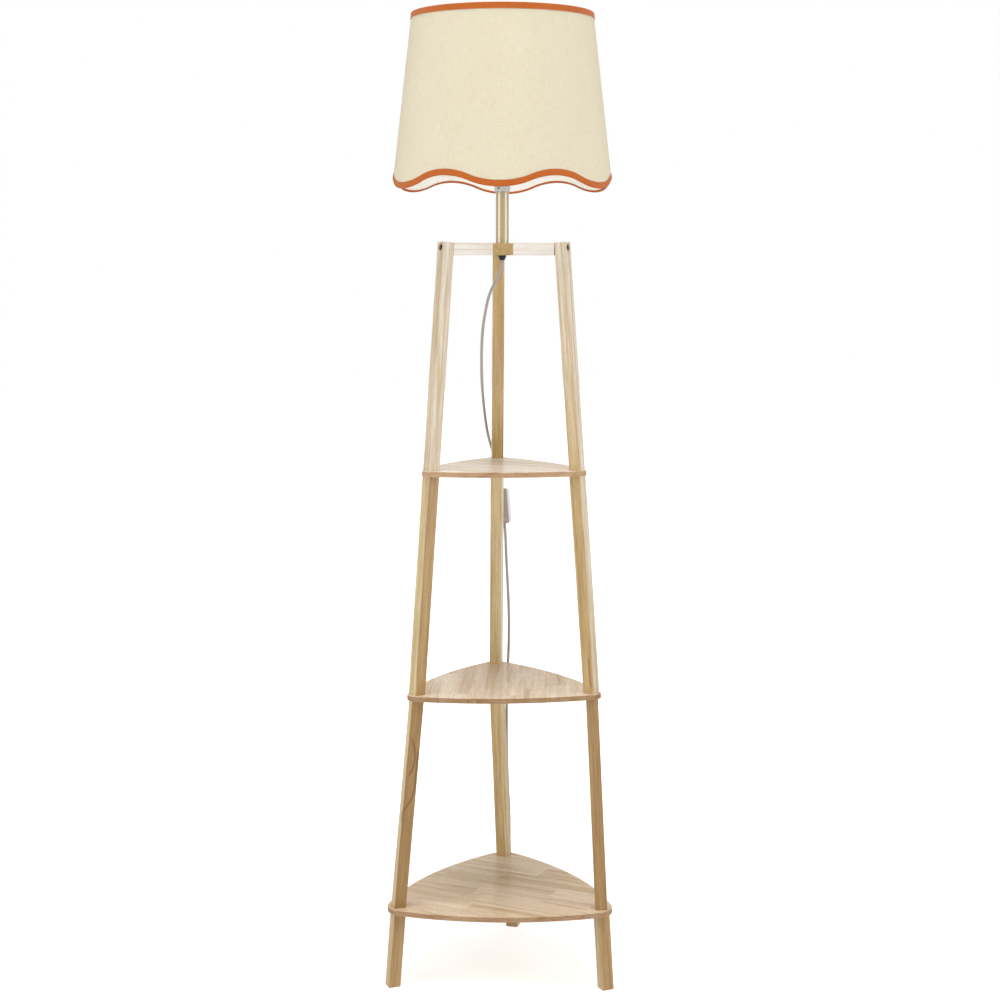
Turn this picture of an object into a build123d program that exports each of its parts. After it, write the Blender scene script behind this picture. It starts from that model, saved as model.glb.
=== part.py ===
from build123d import *
from math import asin, cos, degrees, pi, radians, sin, sqrt, tan
import os

# Shelf floor lamp: three leaning square legs carry three rounded-triangle
# shelves. A six-sided hub joins the leg tops by three arms and holds the stem,
# the lampholder and the shade.
# Millimetres, +Z up, the floor at Z = 0. The rear leg stands towards +Y and the
# hub's flat front face looks towards -Y. Everything is drawn about the stem's
# axis and is moved at the end, so that the origin is the middle of the box that
# holds the lamp without its cord, at the floor.

# ---- legs and arms ----
stick = 20.0                # side of the square legs and arms
stick_edge = 1.0            # rounding of their long edges
leg_lean = 4.42             # degrees from upright
leg_floor_radius = 204.0    # stem axis to leg axis, at the floor
legs = ("rear", "left", "right")
leg_azimuth = {leg: 90 + count * 360 / len(legs) for count, leg in enumerate(legs)}
leg_top_rise = 11.0         # leg top over the middle of the hub

# ---- hub ----
hub_level = 1217.5          # middle of the hub and arms
hub_depth = 20.0
hub_face = 33.4             # width of the three faces between the arms
hub_bore_gap = 0.25         # round the threaded tube
nut_recess_radius = 9.2
nut_recess_depth = 6.5

# ---- shelves: top face, corner tip past the leg's axis, corner radius, bulge of a side ----
shelf_thickness = 9.0
shelf_edge = 1.0            # rounding of the rim
shelf_top = {"top": 858.0, "middle": 490.5, "bottom": 133.5}
shelf_overhang = {"top": 15.0, "middle": 15.0, "bottom": 16.0}
shelf_corner = {"top": 15.0, "middle": 20.0, "bottom": 34.0}
shelf_bulge = {"top": 18.5, "middle": 20.0, "bottom": 25.0}

# ---- how the sections have settled when they were screwed up (degrees) ----
shelf_turn = {"top": 0.0, "middle": 0.0, "bottom": -4.7}
foot_turn = {"left": -5.1, "right": -5.1, "rear": -9.4}
middle_twist = {"left": 5.0, "right": -6.0, "rear": -14.0}
lower_twist = {"left": -13.0, "right": 28.0, "rear": -33.0}
foot_twist = {"left": -5.0, "right": -32.0, "rear": -11.0}

# ---- studs, inserts, leg bolts and dowels ----
thread_radius = 3.0         # M6 studs and bolts
thread_gap = 0.1            # between a thread and its nut
wood_gap = 0.1              # between an insert or dowel and its hole
clear_gap = 0.3             # round a thread in plain wood
insert_radius = 4.5
insert_length = 13.0
insert_inset = 0.5          # insert face below the end of the stick
stud_reach = 17.0           # stud length in each section
hole_run_out = 1.5          # hole deeper than what goes in it
bolt_rise = 1.5             # bolt over the hub's middle, at the leg's inner face
bolt_head_radius = 5.0
bolt_head_height = 5.0
bolt_socket_flats = 5.0
bolt_socket_depth = 2.6
bolt_grip = 12.0            # wood of the leg under the bolt head
bolt_reach = 18.0           # bolt length in the arm
counterbore_radius = 5.75
dowel_radius = 3.0
dowel_length = 24.0
dowel_spread = 10.0         # between the two dowels of an arm

# ---- stem ----
stem_radius = 11.0
stem_wall = 1.5
stem_seat = 2.0             # stem foot let into the hub
stem_bare = 84.5            # between the hub and the lampholder cap
tube_radius = 5.0           # M10 threaded tube
tube_wall = 1.5
tube_below_hub = 5.0
tube_in_cap = 9.0
nut_flats = 14.0
nut_height = 5.0
washer_radius = 8.5
washer_thickness = 1.0
grip_top_radius = 7.0
grip_tip_radius = 4.25
grip_below_hub = 7.8        # tip of the cord grip below the hub
grip_straight = 1.6         # cylindrical part at its top

# ---- lampholder, heights above its underside ----
cap_neck_radius = 13.0
cap_neck_height = 9.0
cap_radius = 19.5
cap_shoulder = 18.0
cap_height = 27.0
cap_wall = 1.8
cap_floor = 11.0
cap_spigot = 3.0
block_low = 21.0
block_boss = 30.0
block_boss_radius = 12.3
body_height = 62.0
body_lip = 1.5
body_lip_opening = 14.6
body_flange_radius = 23.0
body_flange_low = 34.0
body_flange_thickness = 2.5
shell_wall = 0.5
shell_top = 54.0
contact_thickness = 1.2
contact_width = 9.0
part_gap = 0.2              # between the turned pieces of the lampholder
terminal_radius = 1.5
terminal_head_radius = 2.6
terminal_head_height = 1.6
terminal_offset = 10.5
lock_screw_height = 5.3
lock_screw_radius = 1.5
lock_screw_azimuth = 239.0
ring_height = 8.0
ring_radius = 26.0
ring_bevel = 2.0

# ---- bulb, E27 ----
bulb_cap_radius = 13.2
bulb_cap_low = 34.0
bulb_cap_height = 24.0
bulb_cap_wall = 0.5
bulb_contact_radius = 4.6
bulb_contact_drop = 2.6
bulb_radius = 30.0
bulb_neck_radius = 14.0
bulb_neck_height = 7.0
bulb_height = 85.0
bulb_wall = 1.0

# ---- shade ----
shade_height = 286.5
shade_top_radius = 148.5    # outer face of the linen
shade_bottom_radius = 181.5
hem_drop = 35.25            # lowest points of the hem under the spokes
scallops = 6
scallop_rise = 18.3
scallop_turn = -4.7         # degrees, a low point from the front
cloth = 0.8
layer_gap = 0.3
trim = 0.6
trim_band = 10.2            # trim seen outside
trim_turn_in = 3.5          # trim seen inside
wire_radius = 1.5
spoke_radius = 1.25
spokes = 3
spoke_azimuth = 30.0
spoke_start = 24.5          # stem axis to the inner end of a spoke
fitter_radius = 27.5
fitter_thickness = 1.5

# ---- cord, switch, plug ----
cord_diameter = 5.0
cord_hole_gap = 0.15
core_radius = 0.9
least_bend = 25.0           # radius of the cord's axis, at the tightest
switch_length = 61.5
switch_width = 25.0
switch_end_width = 21.0
switch_shoulder = 27.0      # middle of the switch to where it narrows
switch_cover = 11.0         # cover, towards the back
switch_base = 8.0           # base, towards the leg
switch_base_width = 16.0
switch_base_end_width = 14.0
switch_wall = 1.6
switch_round = 2.5
rocker_length = 22.0
rocker_width = 10.0
rocker_gap = 0.4
rocker_rise = 1.8           # rocker over the cover
rocker_tilt = 7.0           # degrees, each way
rocker_lobe = 3.0
pin_radius = 1.0
pin_depth = 4.6             # pin below the cover's face
pin_length = 16.0
pin_running_gap = 0.05
ear_thickness = 1.6
switch_screw_place = 22.0
switch_screw_radius = 1.2
switch_screw_head = 2.2
switch_screw_gap = 0.1
post_radius = 2.8
strip = 0.6                 # spring strips of the contacts
strip_width = 3.0
strip_place = 3.2
strip_riser = 12.0
strip_foot = 5.0
strip_gap = 0.8             # under the lobe of the rocker
plug_width = 35.3
plug_thickness = 13.7
plug_length = 36.0
plug_neck_width = 13.0
plug_neck_thickness = 9.0
plug_round = 4.0
plug_relief = 12.0
plug_relief_radius = 4.2
plug_tip_radius = 3.2
plug_pin_radius = 2.0
plug_root_radius = 1.5
plug_pin_spacing = 18.6
plug_pin_length = 19.0
plug_pin_root = 8.0
plug_pin_gap = 0.05
coil_lift = 1.2             # room for the tie under the coil
coil_outer = 33.0           # cord axis in the outermost turn
coil_gap = 0.6
coil_layer_turns = 2
coil_dip = 0.8              # drawn in where the coil climbs
coil_centre = (52.0, 261.0)
tie_width = 8.0
tie_wall = 0.8
tie_room = 0.9
tie_floor = 0.2

# The cord's route, chosen by hand: from the grip, round the left of the rear leg
# to the back of the top shelf, into the switch, then down behind the rear leg
# and out to the coil. X, Y from the stem's axis, Z from the floor.
upper_route = [
    (0.0, 0.0, 1199.7), (0.0, 0.0, 1184.0), (-3.0, 7.0, 1168.0), (-12.9, 26.8, 1145.2),
    (-20.6, 53.0, 1111.5), (-25.0, 80.5, 1077.0), (-26.7, 103.7, 1036.0),
    (-26.0, 123.7, 989.0), (-21.6, 143.5, 942.0), (-15.5, 159.2, 896.3),
    (-4.5, 167.5, 860.1), (8.4, 168.4, 822.1), (10.1, 169.7, 800.3)]
lower_route = [
    (15.0, 173.4, 739.1), (16.9, 174.9, 714.2), (17.9, 177.3, 685.3), (21.0, 180.1, 631.6),
    (23.6, 181.9, 578.1), (23.9, 183.9, 529.7), (22.3, 186.0, 488.5), (20.8, 189.0, 437.0),
    (20.5, 191.9, 379.0), (21.0, 195.8, 321.0), (22.8, 200.0, 265.0), (26.2, 205.8, 211.0),
    (27.3, 215.8, 163.0), (26.3, 220.9, 112.0), (5.1, 226.6, 63.0), (3.2, 228.7, 23.0),
    (22.0, 228.0, 3.7), (47.0, 228.0, 3.7)]
tail_route = [
    (47.0, 294.0, 9.3), (27.0, 294.0, 9.3), (7.0, 294.8, 5.6), (-13.0, 295.8, 4.4),
    (-32.0, 296.0, 6.85), (-50.0, 296.0, 6.85)]

hub_low = hub_level - hub_depth / 2
hub_high = hub_level + hub_depth / 2
holder_base = hub_high + stem_bare
fitter_low = holder_base + body_flange_low + body_flange_thickness
fitter_top = fitter_low + fitter_thickness
carrier_level = fitter_top - spoke_radius
hem_level = carrier_level - hem_drop
shade_top_level = hem_level + shade_height
parts = {}


# ---- small helpers ----
def polar(radius, azimuth, z=0.0):
    return Vector(radius * cos(radians(azimuth)), radius * sin(radians(azimuth)), z)


def pillar(x, y, radius, low, high):
    """An upright cylinder between two heights."""
    return Pos(x, y, (low + high) / 2) * Cylinder(radius, high - low)


def along(plane, radius, start, end):
    """A cylinder along a plane's normal, between two distances from it."""
    return plane * Pos(0, 0, (start + end) / 2) * Cylinder(radius, end - start)


def turned(outline, base=0.0):
    """A ring or disc turned about the stem's axis from (radius, height) points."""
    face = make_face(Plane.XZ * Polyline(*outline, close=True))
    return Pos(0, 0, base) * revolve(face, Axis.Z)


def group(solids):
    return Compound(list(solids))


# ---- legs ----
def leg_radius(z):
    return leg_floor_radius - z * tan(radians(leg_lean))


def leg_point(leg, z, turn=0.0):
    return polar(leg_radius(z), leg_azimuth[leg] + turn, z)


def stick_between(foot, top, facing, below, above):
    """A square stick on a line, run on below its foot and above its top."""
    up = (top - foot).normalized()
    outward = polar(1, facing)
    outward = outward - up * outward.dot(up)
    start = Plane(origin=foot - up * below, x_dir=outward, z_dir=up)
    length = (top - foot).length + below + above
    return extrude(start * RectangleRounded(stick, stick, stick_edge), length)


def between_heights(low, high):
    across = 4 * leg_floor_radius
    return Pos(0, 0, (low + high) / 2) * Box(across, across, high - low)


def shelf_hole(leg, shelf):
    middle = shelf_top[shelf] - shelf_thickness / 2
    return leg_point(leg, middle, shelf_turn[shelf])


def end_hole(leg, shelf, side):
    """Hole for an insert and a stud in the end of the stick above (1) or below (-1)."""
    face = shelf_top[shelf] if side > 0 else shelf_top[shelf] - shelf_thickness
    place = shelf_hole(leg, shelf)
    wide_end = face + side * (insert_inset + insert_length)
    deep_end = face + side * (stud_reach + hole_run_out)
    start = face - side * stick
    wide = pillar(place.X, place.Y, insert_radius + wood_gap, min(start, wide_end), max(start, wide_end))
    deep = pillar(place.X, place.Y, thread_radius + clear_gap, min(start, deep_end), max(start, deep_end))
    return wide + deep


def end_insert(leg, shelf, side):
    face = shelf_top[shelf] if side > 0 else shelf_top[shelf] - shelf_thickness
    place = shelf_hole(leg, shelf)
    near = face + side * insert_inset
    far = near + side * insert_length
    body = pillar(place.X, place.Y, insert_radius, min(near, far), max(near, far))
    return body - pillar(place.X, place.Y, thread_radius + thread_gap, min(near, far), max(near, far))


def shelf_stud(leg, shelf):
    place = shelf_hole(leg, shelf)
    low = shelf_top[shelf] - shelf_thickness - stud_reach
    return pillar(place.X, place.Y, thread_radius, low, shelf_top[shelf] + stud_reach)


def leg_section(leg, high_shelf, low_shelf, twist):
    """A section between the underside of one shelf and the top of the next."""
    high = shelf_top[high_shelf] - shelf_thickness
    low = shelf_top[low_shelf]
    turns = shelf_turn[high_shelf], shelf_turn[low_shelf]
    facing = leg_azimuth[leg] + sum(turns) / 2 + twist
    top = leg_point(leg, high, turns[0])
    foot = leg_point(leg, low, turns[1])
    bar = stick_between(foot, top, facing, stick, stick) & between_heights(low, high)
    return bar - end_hole(leg, high_shelf, -1) - end_hole(leg, low_shelf, 1)


def leg_foot(leg):
    high = shelf_top["bottom"] - shelf_thickness
    facing = leg_azimuth[leg] + (shelf_turn["bottom"] + foot_turn[leg]) / 2 + foot_twist[leg]
    top = leg_point(leg, high, shelf_turn["bottom"])
    foot = leg_point(leg, 0, foot_turn[leg])
    bar = stick_between(foot, top, facing, stick, stick) & between_heights(0, high)
    return bar - end_hole(leg, "bottom", -1)


def bolt_plane(leg):
    """On the leg's inner face, with its normal outwards along the bolt."""
    lean = radians(leg_lean)
    level = hub_level + bolt_rise
    inner = leg_radius(level) - stick / 2 / cos(lean)
    flat = polar(cos(lean), leg_azimuth[leg])
    return Plane(origin=polar(inner, leg_azimuth[leg], level), z_dir=Vector(flat.X, flat.Y, sin(lean)))


def leg_upper(leg):
    low = shelf_top["top"]
    top = leg_point(leg, hub_level + leg_top_rise)
    bar = stick_between(leg_point(leg, low), top, leg_azimuth[leg], stick, 0)
    bar = bar & between_heights(low, hub_level + stick)
    bar -= end_hole(leg, "top", 1)
    bar -= along(bolt_plane(leg), thread_radius + clear_gap, -stick, 2 * stick)
    return bar - along(bolt_plane(leg), counterbore_radius, bolt_grip, 2 * stick)


def leg_bolt(leg):
    plane = bolt_plane(leg)
    head_end = bolt_grip + bolt_head_height
    bolt = along(plane, thread_radius, -bolt_reach, bolt_grip)
    bolt += along(plane, bolt_head_radius, bolt_grip, head_end)
    hexagon = RegularPolygon(bolt_socket_flats / 2, 6, major_radius=False)
    return bolt - extrude(plane * Pos(0, 0, head_end) * hexagon, -bolt_socket_depth)


def arm_insert(leg):
    plane = bolt_plane(leg)
    end = -insert_inset - insert_length
    body = along(plane, insert_radius, end, -insert_inset)
    return body - along(plane, thread_radius + thread_gap, end, -insert_inset)


# ---- hub and arms ----
def hub_side(width, other):
    """Distance from the axis to a side of a hexagon with equal angles."""
    return (width + 2 * other) / (2 * sqrt(3))


arm_start = hub_side(stick, hub_face)


def arm_dowel_places(leg):
    """Planes at the hub's side, one for each dowel, with their normals outwards."""
    out = polar(1, leg_azimuth[leg])
    for side in (-1, 1):
        level = hub_level + side * dowel_spread / 2
        yield Plane(origin=polar(arm_start, leg_azimuth[leg], level), z_dir=out)


def arm(leg):
    out = polar(1, leg_azimuth[leg])
    start = Plane(origin=polar(arm_start, leg_azimuth[leg], hub_level), x_dir=(0, 0, 1), z_dir=out)
    length = leg_radius(hub_level) - arm_start
    bar = extrude(start * RectangleRounded(stick, stick, stick_edge), length)
    bolt = bolt_plane(leg)
    bar -= bolt * Pos(0, 0, stick) * Box(4 * stick, 4 * stick, 2 * stick)
    bar -= along(bolt, insert_radius + wood_gap, -insert_inset - insert_length, stick)
    bar -= along(bolt, thread_radius + clear_gap, -bolt_reach - hole_run_out, stick)
    for place in arm_dowel_places(leg):
        bar -= along(place, dowel_radius + wood_gap, -stick, dowel_length / 2 + hole_run_out)
    return bar


def hub_block():
    corners = []
    for azimuth in sorted(leg_azimuth.values()):
        for side in (-1, 1):
            sideways = polar(side * stick / 2, azimuth + 90)
            corners.append(polar(arm_start, azimuth) + sideways)
    outline = make_face(Polyline(*corners, close=True))
    hub = extrude(Pos(0, 0, hub_low) * outline, hub_depth)
    hub -= pillar(0, 0, tube_radius + hub_bore_gap, hub_low - stick, hub_high + stick)
    hub -= pillar(0, 0, nut_recess_radius, hub_low - stick, hub_low + nut_recess_depth)
    hub -= pillar(0, 0, stem_radius + wood_gap, hub_high - stem_seat, hub_high + stick)
    for leg in leg_azimuth:
        for place in arm_dowel_places(leg):
            hub -= along(place, dowel_radius + wood_gap, -dowel_length / 2 - hole_run_out, stick)
    return hub


def dowels():
    for leg in leg_azimuth:
        for place in arm_dowel_places(leg):
            yield along(place, dowel_radius, -dowel_length / 2, dowel_length / 2)


# ---- shelves ----
def shelf(name):
    """A triangle with bulging sides and round corners, drilled for the studs."""
    corner = shelf_corner[name]
    middle = shelf_top[name] - shelf_thickness / 2
    centre = leg_radius(middle) + shelf_overhang[name] - corner
    half_chord = centre * sin(radians(60))
    bulge = shelf_bulge[name]
    side_radius = (half_chord ** 2 + bulge ** 2) / (2 * bulge)
    half_arc = degrees(asin(half_chord / side_radius))
    side_offset = centre / 2 + bulge - side_radius
    outline = []
    for azimuth in leg_azimuth.values():
        normal = azimuth + 180 + shelf_turn[name]
        side_centre = polar(side_offset, normal)
        reach = side_radius + corner
        side = [side_centre + polar(reach, normal + step * half_arc) for step in (-1, 0, 1)]
        outline.append(ThreePointArc(*side))
        round_centre = polar(centre, normal + 60)
        start, end = normal + half_arc, normal + 120 - half_arc
        bend = [round_centre + polar(corner, angle) for angle in (start, (start + end) / 2, end)]
        outline.append(ThreePointArc(*bend))
    face = make_face(outline)
    board = extrude(Pos(0, 0, shelf_top[name] - shelf_thickness) * face, shelf_thickness)
    rims = board.faces().sort_by(Axis.Z)
    board = fillet(rims[0].edges() + rims[-1].edges(), shelf_edge)
    for leg in leg_azimuth:
        place = shelf_hole(leg, name)
        board -= pillar(place.X, place.Y, thread_radius + clear_gap, 0, hub_level)
    return board


# ---- stem ----
def stem_tube():
    outer = pillar(0, 0, stem_radius, hub_high - stem_seat, holder_base)
    return outer - pillar(0, 0, stem_radius - stem_wall, hub_low, holder_base)


def threaded_tube():
    low, high = hub_low - tube_below_hub, holder_base + tube_in_cap
    return pillar(0, 0, tube_radius, low, high) - pillar(0, 0, tube_radius - tube_wall, low, high)


nut_top = hub_low + nut_recess_depth - washer_thickness


def hub_washer():
    ring = pillar(0, 0, washer_radius, nut_top, nut_top + washer_thickness)
    return ring - pillar(0, 0, tube_radius + thread_gap, nut_top, nut_top + washer_thickness)


def hub_nut():
    hexagon = RegularPolygon(nut_flats / 2, 6, major_radius=False)
    nut = extrude(Pos(0, 0, nut_top - nut_height) * hexagon, nut_height)
    return nut - pillar(0, 0, tube_radius + thread_gap, nut_top - nut_height, nut_top)


def cord_grip():
    tip = hub_low - grip_below_hub
    top = nut_top - nut_height
    bore_end = hub_low - tube_below_hub
    hole = cord_diameter / 2 + cord_hole_gap
    shoulder = hub_low - grip_straight
    thread = tube_radius + thread_gap
    return turned([(hole, tip), (grip_tip_radius, tip), (grip_top_radius, shoulder),
                   (grip_top_radius, top), (thread, top), (thread, bore_end), (hole, bore_end)])


# ---- lampholder ----
def holder_cap():
    bore = tube_radius + thread_gap
    spigot = stem_radius - stem_wall - part_gap
    inside = cap_radius - cap_wall
    cap = turned([(bore, -cap_spigot), (spigot, -cap_spigot), (spigot, 0), (cap_neck_radius, 0),
                  (cap_neck_radius, cap_neck_height), (cap_radius, cap_shoulder),
                  (cap_radius, cap_height), (inside, cap_height), (inside, cap_shoulder),
                  (cap_neck_radius - cap_wall, cap_floor), (bore, cap_floor)], holder_base)
    return cap - lock_screw_space(lock_screw_radius + thread_gap)


def lock_screw_space(radius):
    out = polar(1, lock_screw_azimuth)
    start = Plane(origin=(0, 0, holder_base + lock_screw_height), z_dir=out)
    return along(start, radius, tube_radius + thread_gap, cap_neck_radius)


def contact_block():
    edge = cap_radius - cap_wall - part_gap
    block = turned([(0, block_low), (edge, block_low), (edge, cap_height),
                    (block_boss_radius, cap_height), (block_boss_radius, block_boss),
                    (0, block_boss)], holder_base)
    low = holder_base + block_low
    for side in (-1, 1):
        hole = terminal_radius + thread_gap
        block -= pillar(side * terminal_offset, 0, hole, low, low + 2 * terminal_radius)
    return block


def terminal_screws():
    low = holder_base + block_low
    for side in (-1, 1):
        x = side * terminal_offset
        shank = pillar(x, 0, terminal_radius, low - terminal_head_height, low + 2 * terminal_radius)
        yield shank + pillar(x, 0, terminal_head_radius, low - terminal_head_height, low)


def holder_body():
    inner = bulb_cap_radius + 2 * part_gap + shell_wall + part_gap
    flange = body_flange_low + body_flange_thickness
    return turned([(inner, cap_height), (cap_radius, cap_height), (cap_radius, body_flange_low),
                   (body_flange_radius, body_flange_low), (body_flange_radius, flange),
                   (cap_radius, flange), (cap_radius, body_height), (body_lip_opening, body_height),
                   (body_lip_opening, body_height - body_lip), (inner, body_height - body_lip)],
                  holder_base)


def screw_shell():
    inner = bulb_cap_radius + 2 * part_gap
    low, high = holder_base + cap_height, holder_base + shell_top
    return pillar(0, 0, inner + shell_wall, low, high) - pillar(0, 0, inner, low, high)


def centre_contact():
    level = holder_base + block_boss + contact_thickness / 2
    return Pos(0, 0, level) * Box(contact_width, contact_width / 2, contact_thickness)


def shade_ring():
    inner = cap_radius + part_gap
    edge = ring_radius - ring_bevel
    return turned([(inner, 0), (ring_radius, 0), (ring_radius, ring_height - ring_bevel),
                   (edge, ring_height), (inner, ring_height)], fitter_top)


def supply_cable():
    """The cord inside the threaded tube, with two cores out to the terminals."""
    low = hub_low - grip_below_hub
    high = holder_base + cap_floor
    yield pillar(0, 0, cord_diameter / 2, low, high)
    for side in (-1, 1):
        start = Vector(side * (core_radius + thread_gap), 0, high)
        end = Vector(side * terminal_offset, 0, holder_base + block_low - terminal_head_height)
        line = Plane(origin=start, z_dir=end - start)
        core = along(line, core_radius, 0, (end - start).length)
        yield core & between_heights(high, end.Z)


# ---- bulb ----
def bulb_shape(shrink, foot):
    """The globe's solid, drawn in by its wall and run down to foot."""
    radius = bulb_radius - shrink
    neck = bulb_neck_radius - shrink
    middle = bulb_height - bulb_radius
    drop = middle - bulb_neck_height
    flare = (neck ** 2 + drop ** 2 - radius ** 2) / (2 * (radius - neck))
    join = Vector(neck + flare, -drop).normalized() * radius
    outline = [
        Line((0, foot), (neck, foot)),
        Line((neck, foot), (neck, bulb_neck_height)),
        TangentArc((neck, bulb_neck_height), (join.X, middle + join.Y), tangent=(0, 1)),
        ThreePointArc((join.X, middle + join.Y), (radius, middle), (0, middle + radius)),
        Line((0, middle + radius), (0, foot))]
    return revolve(make_face(Plane.XZ * Curve(outline)), Axis.Z)


bulb_foot = holder_base + bulb_cap_low + bulb_cap_height


def bulb_globe():
    return Pos(0, 0, bulb_foot) * (bulb_shape(0, 0) - bulb_shape(bulb_wall, -bulb_wall))


def bulb_cap():
    low = bulb_cap_low
    high = low + bulb_cap_height
    inner = bulb_cap_radius - bulb_cap_wall
    hole = bulb_contact_radius + part_gap
    return turned([(hole, low), (bulb_cap_radius, low), (bulb_cap_radius, high), (inner, high),
                   (inner, low + bulb_cap_wall), (hole, low + bulb_cap_wall)], holder_base)


def bulb_contact():
    low = bulb_cap_low - bulb_contact_drop
    return turned([(0, low), (bulb_contact_radius / 2, low), (bulb_contact_radius, bulb_cap_low),
                   (bulb_contact_radius, bulb_cap_low + bulb_cap_wall), (0, bulb_cap_low + bulb_cap_wall)],
                  holder_base)


# ---- shade ----
def linen_radius(z):
    return shade_bottom_radius - (z - hem_level) * (shade_bottom_radius - shade_top_radius) / shade_height


def cone_wall(outside, inside, low, high):
    """A tapered wall between two distances in from the linen's outer face."""
    return turned([(linen_radius(low) - inside, low), (linen_radius(low) - outside, low),
                   (linen_radius(high) - outside, high), (linen_radius(high) - inside, high)])


def below_hem(lift):
    """All that lies under the wavy hem line when the line is lifted by lift."""
    half_wave = shade_bottom_radius * sin(pi / scallops)
    flat = half_wave + scallops
    depth = 4 * scallop_rise
    middle = (half_wave / 2, scallop_rise / 2)
    outline = [
        Line((-flat, 0), (-half_wave, 0)),
        TangentArc((-half_wave, 0), (-middle[0], middle[1]), tangent=(1, 0)),
        ThreePointArc((-middle[0], middle[1]), (0, scallop_rise), middle),
        TangentArc((half_wave, 0), middle, tangent=(-1, 0)),
        Line((half_wave, 0), (flat, 0)),
        Polyline((flat, 0), (flat, -depth), (-flat, -depth), (-flat, 0))]
    face = make_face(Curve(outline))
    wedges = []
    for count in range(scallops):
        azimuth = 270 + scallop_turn + (count + 0.5) * 360 / scallops
        near = polar(shade_top_radius - stick, azimuth, hem_level + lift)
        plane = Plane(origin=near, x_dir=polar(1, azimuth + 90), z_dir=polar(1, azimuth))
        wedges.append(extrude(plane * face, shade_bottom_radius - shade_top_radius + 2 * stick - scallops))
    return Part() + wedges


trim_fold = trim + layer_gap
liner_face = cloth + layer_gap
inside_face = liner_face + cloth


def shade_linen(under):
    wall = cone_wall(0, cloth, hem_level - stick, shade_top_level - trim_fold)
    return wall - Pos(0, 0, trim_fold) * under


def shade_liner(under):
    wall = cone_wall(liner_face, inside_face, hem_level - stick, shade_top_level - trim_fold)
    return wall - Pos(0, 0, trim_fold) * under


def top_trim():
    low_out = shade_top_level - trim_band
    low_in = shade_top_level - trim_turn_in
    block = cone_wall(-trim_fold, inside_face + trim_fold, low_out, shade_top_level)
    block -= cone_wall(-layer_gap, inside_face + layer_gap, low_out - stick, shade_top_level - trim)
    return block - cone_wall(inside_face, inside_face + stick, low_out - stick, low_in)


def hem_trim(under):
    high = hem_level + scallop_rise + 2 * trim_band
    block = cone_wall(-trim_fold, inside_face + trim_fold, hem_level - stick, high)
    block = block & (Pos(0, 0, trim_band) * under)
    block -= under
    pocket = cone_wall(-layer_gap, inside_face + layer_gap, hem_level - stick, high)
    block -= pocket - Pos(0, 0, trim) * under
    above = cone_wall(inside_face, inside_face + trim_fold + stick, hem_level - stick, high)
    return block - (above - Pos(0, 0, trim_turn_in) * under)


def wire_ring(level):
    inside = linen_radius(level) - inside_face - layer_gap - wire_radius
    return inside, Pos(0, 0, level) * Torus(inside, wire_radius)


def top_wire():
    level = shade_top_level - trim_turn_in - layer_gap - wire_radius
    return wire_ring(level)[1]


def shade_carrier():
    """Lower wire ring, spokes and the flat fitter ring on the lampholder's flange."""
    reach, ring = wire_ring(carrier_level)
    flat = pillar(0, 0, fitter_radius, fitter_low, fitter_top)
    flat -= pillar(0, 0, cap_radius + part_gap, fitter_low, fitter_top)
    carrier = ring + flat
    for count in range(spokes):
        azimuth = spoke_azimuth + count * 360 / spokes
        line = Plane(origin=(0, 0, carrier_level), z_dir=polar(1, azimuth))
        carrier += along(line, spoke_radius, spoke_start, reach)
    return carrier


# ---- cord ----
def bend_radii(route):
    """The largest round each corner of a route allows."""
    radii = []
    for before, here, after in zip(route, route[1:], route[2:]):
        first = Vector(here) - Vector(before)
        second = Vector(after) - Vector(here)
        turn = first.get_angle(second)
        radii.append(0.45 * min(first.length, second.length) / tan(radians(turn / 2)))
    return radii


def cord_tube(name, route):
    radii = bend_radii(route)
    path = FilletPolyline(*route, radius=radii)
    tube = swept(path)
    print(name, "radii", [round(radius) for radius in radii])
    print(name, "length", round(path.length, 1), "volume check", volume_share(tube, path))
    assert min(radii) >= least_bend
    return tube


def swept(path):
    start = Plane(origin=path @ 0, z_dir=path % 0)
    return sweep(start * Circle(cord_diameter / 2), path=path)


def volume_share(tube, path):
    return round(tube.volume / (pi * cord_diameter ** 2 / 4 * path.length), 4)


def biarc(start, start_way, end, end_way):
    """Two arcs that leave start and reach end along the given directions."""
    span = end - start
    ways = start_way + end_way
    open_share = 2 * (1 - start_way.dot(end_way))
    root = sqrt(span.dot(ways) ** 2 + open_share * span.dot(span))
    reach = (root - span.dot(ways)) / open_share
    middle = (start + start_way * reach + end - end_way * reach) / 2
    first = TangentArc(start, middle, tangent=start_way)
    return [first, TangentArc(middle, end, tangent=first % 1)]


coil_pitch = cord_diameter + coil_gap
coil_turns = 2 * coil_layer_turns + 0.5


def coil_point(turns):
    """Cord axis in the coil: in by layer one, up in half a turn, out by layer two."""
    climb = min(max((turns - coil_layer_turns) / 0.5, 0), 1)
    inward = min(turns, coil_layer_turns)
    outward = max(turns - coil_layer_turns - 0.5, 0)
    radius = coil_outer - coil_pitch * (inward - outward) - coil_dip * sin(pi * climb)
    low = cord_diameter / 2 + coil_lift
    z = low + coil_pitch * (1 - cos(pi * climb)) / 2
    return Vector(*coil_centre, z) + polar(radius, 360 * turns - 90)


def coil_way(turns):
    step = 0.02
    return (coil_point(turns + step) - coil_point(turns - step)).normalized()


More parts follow.
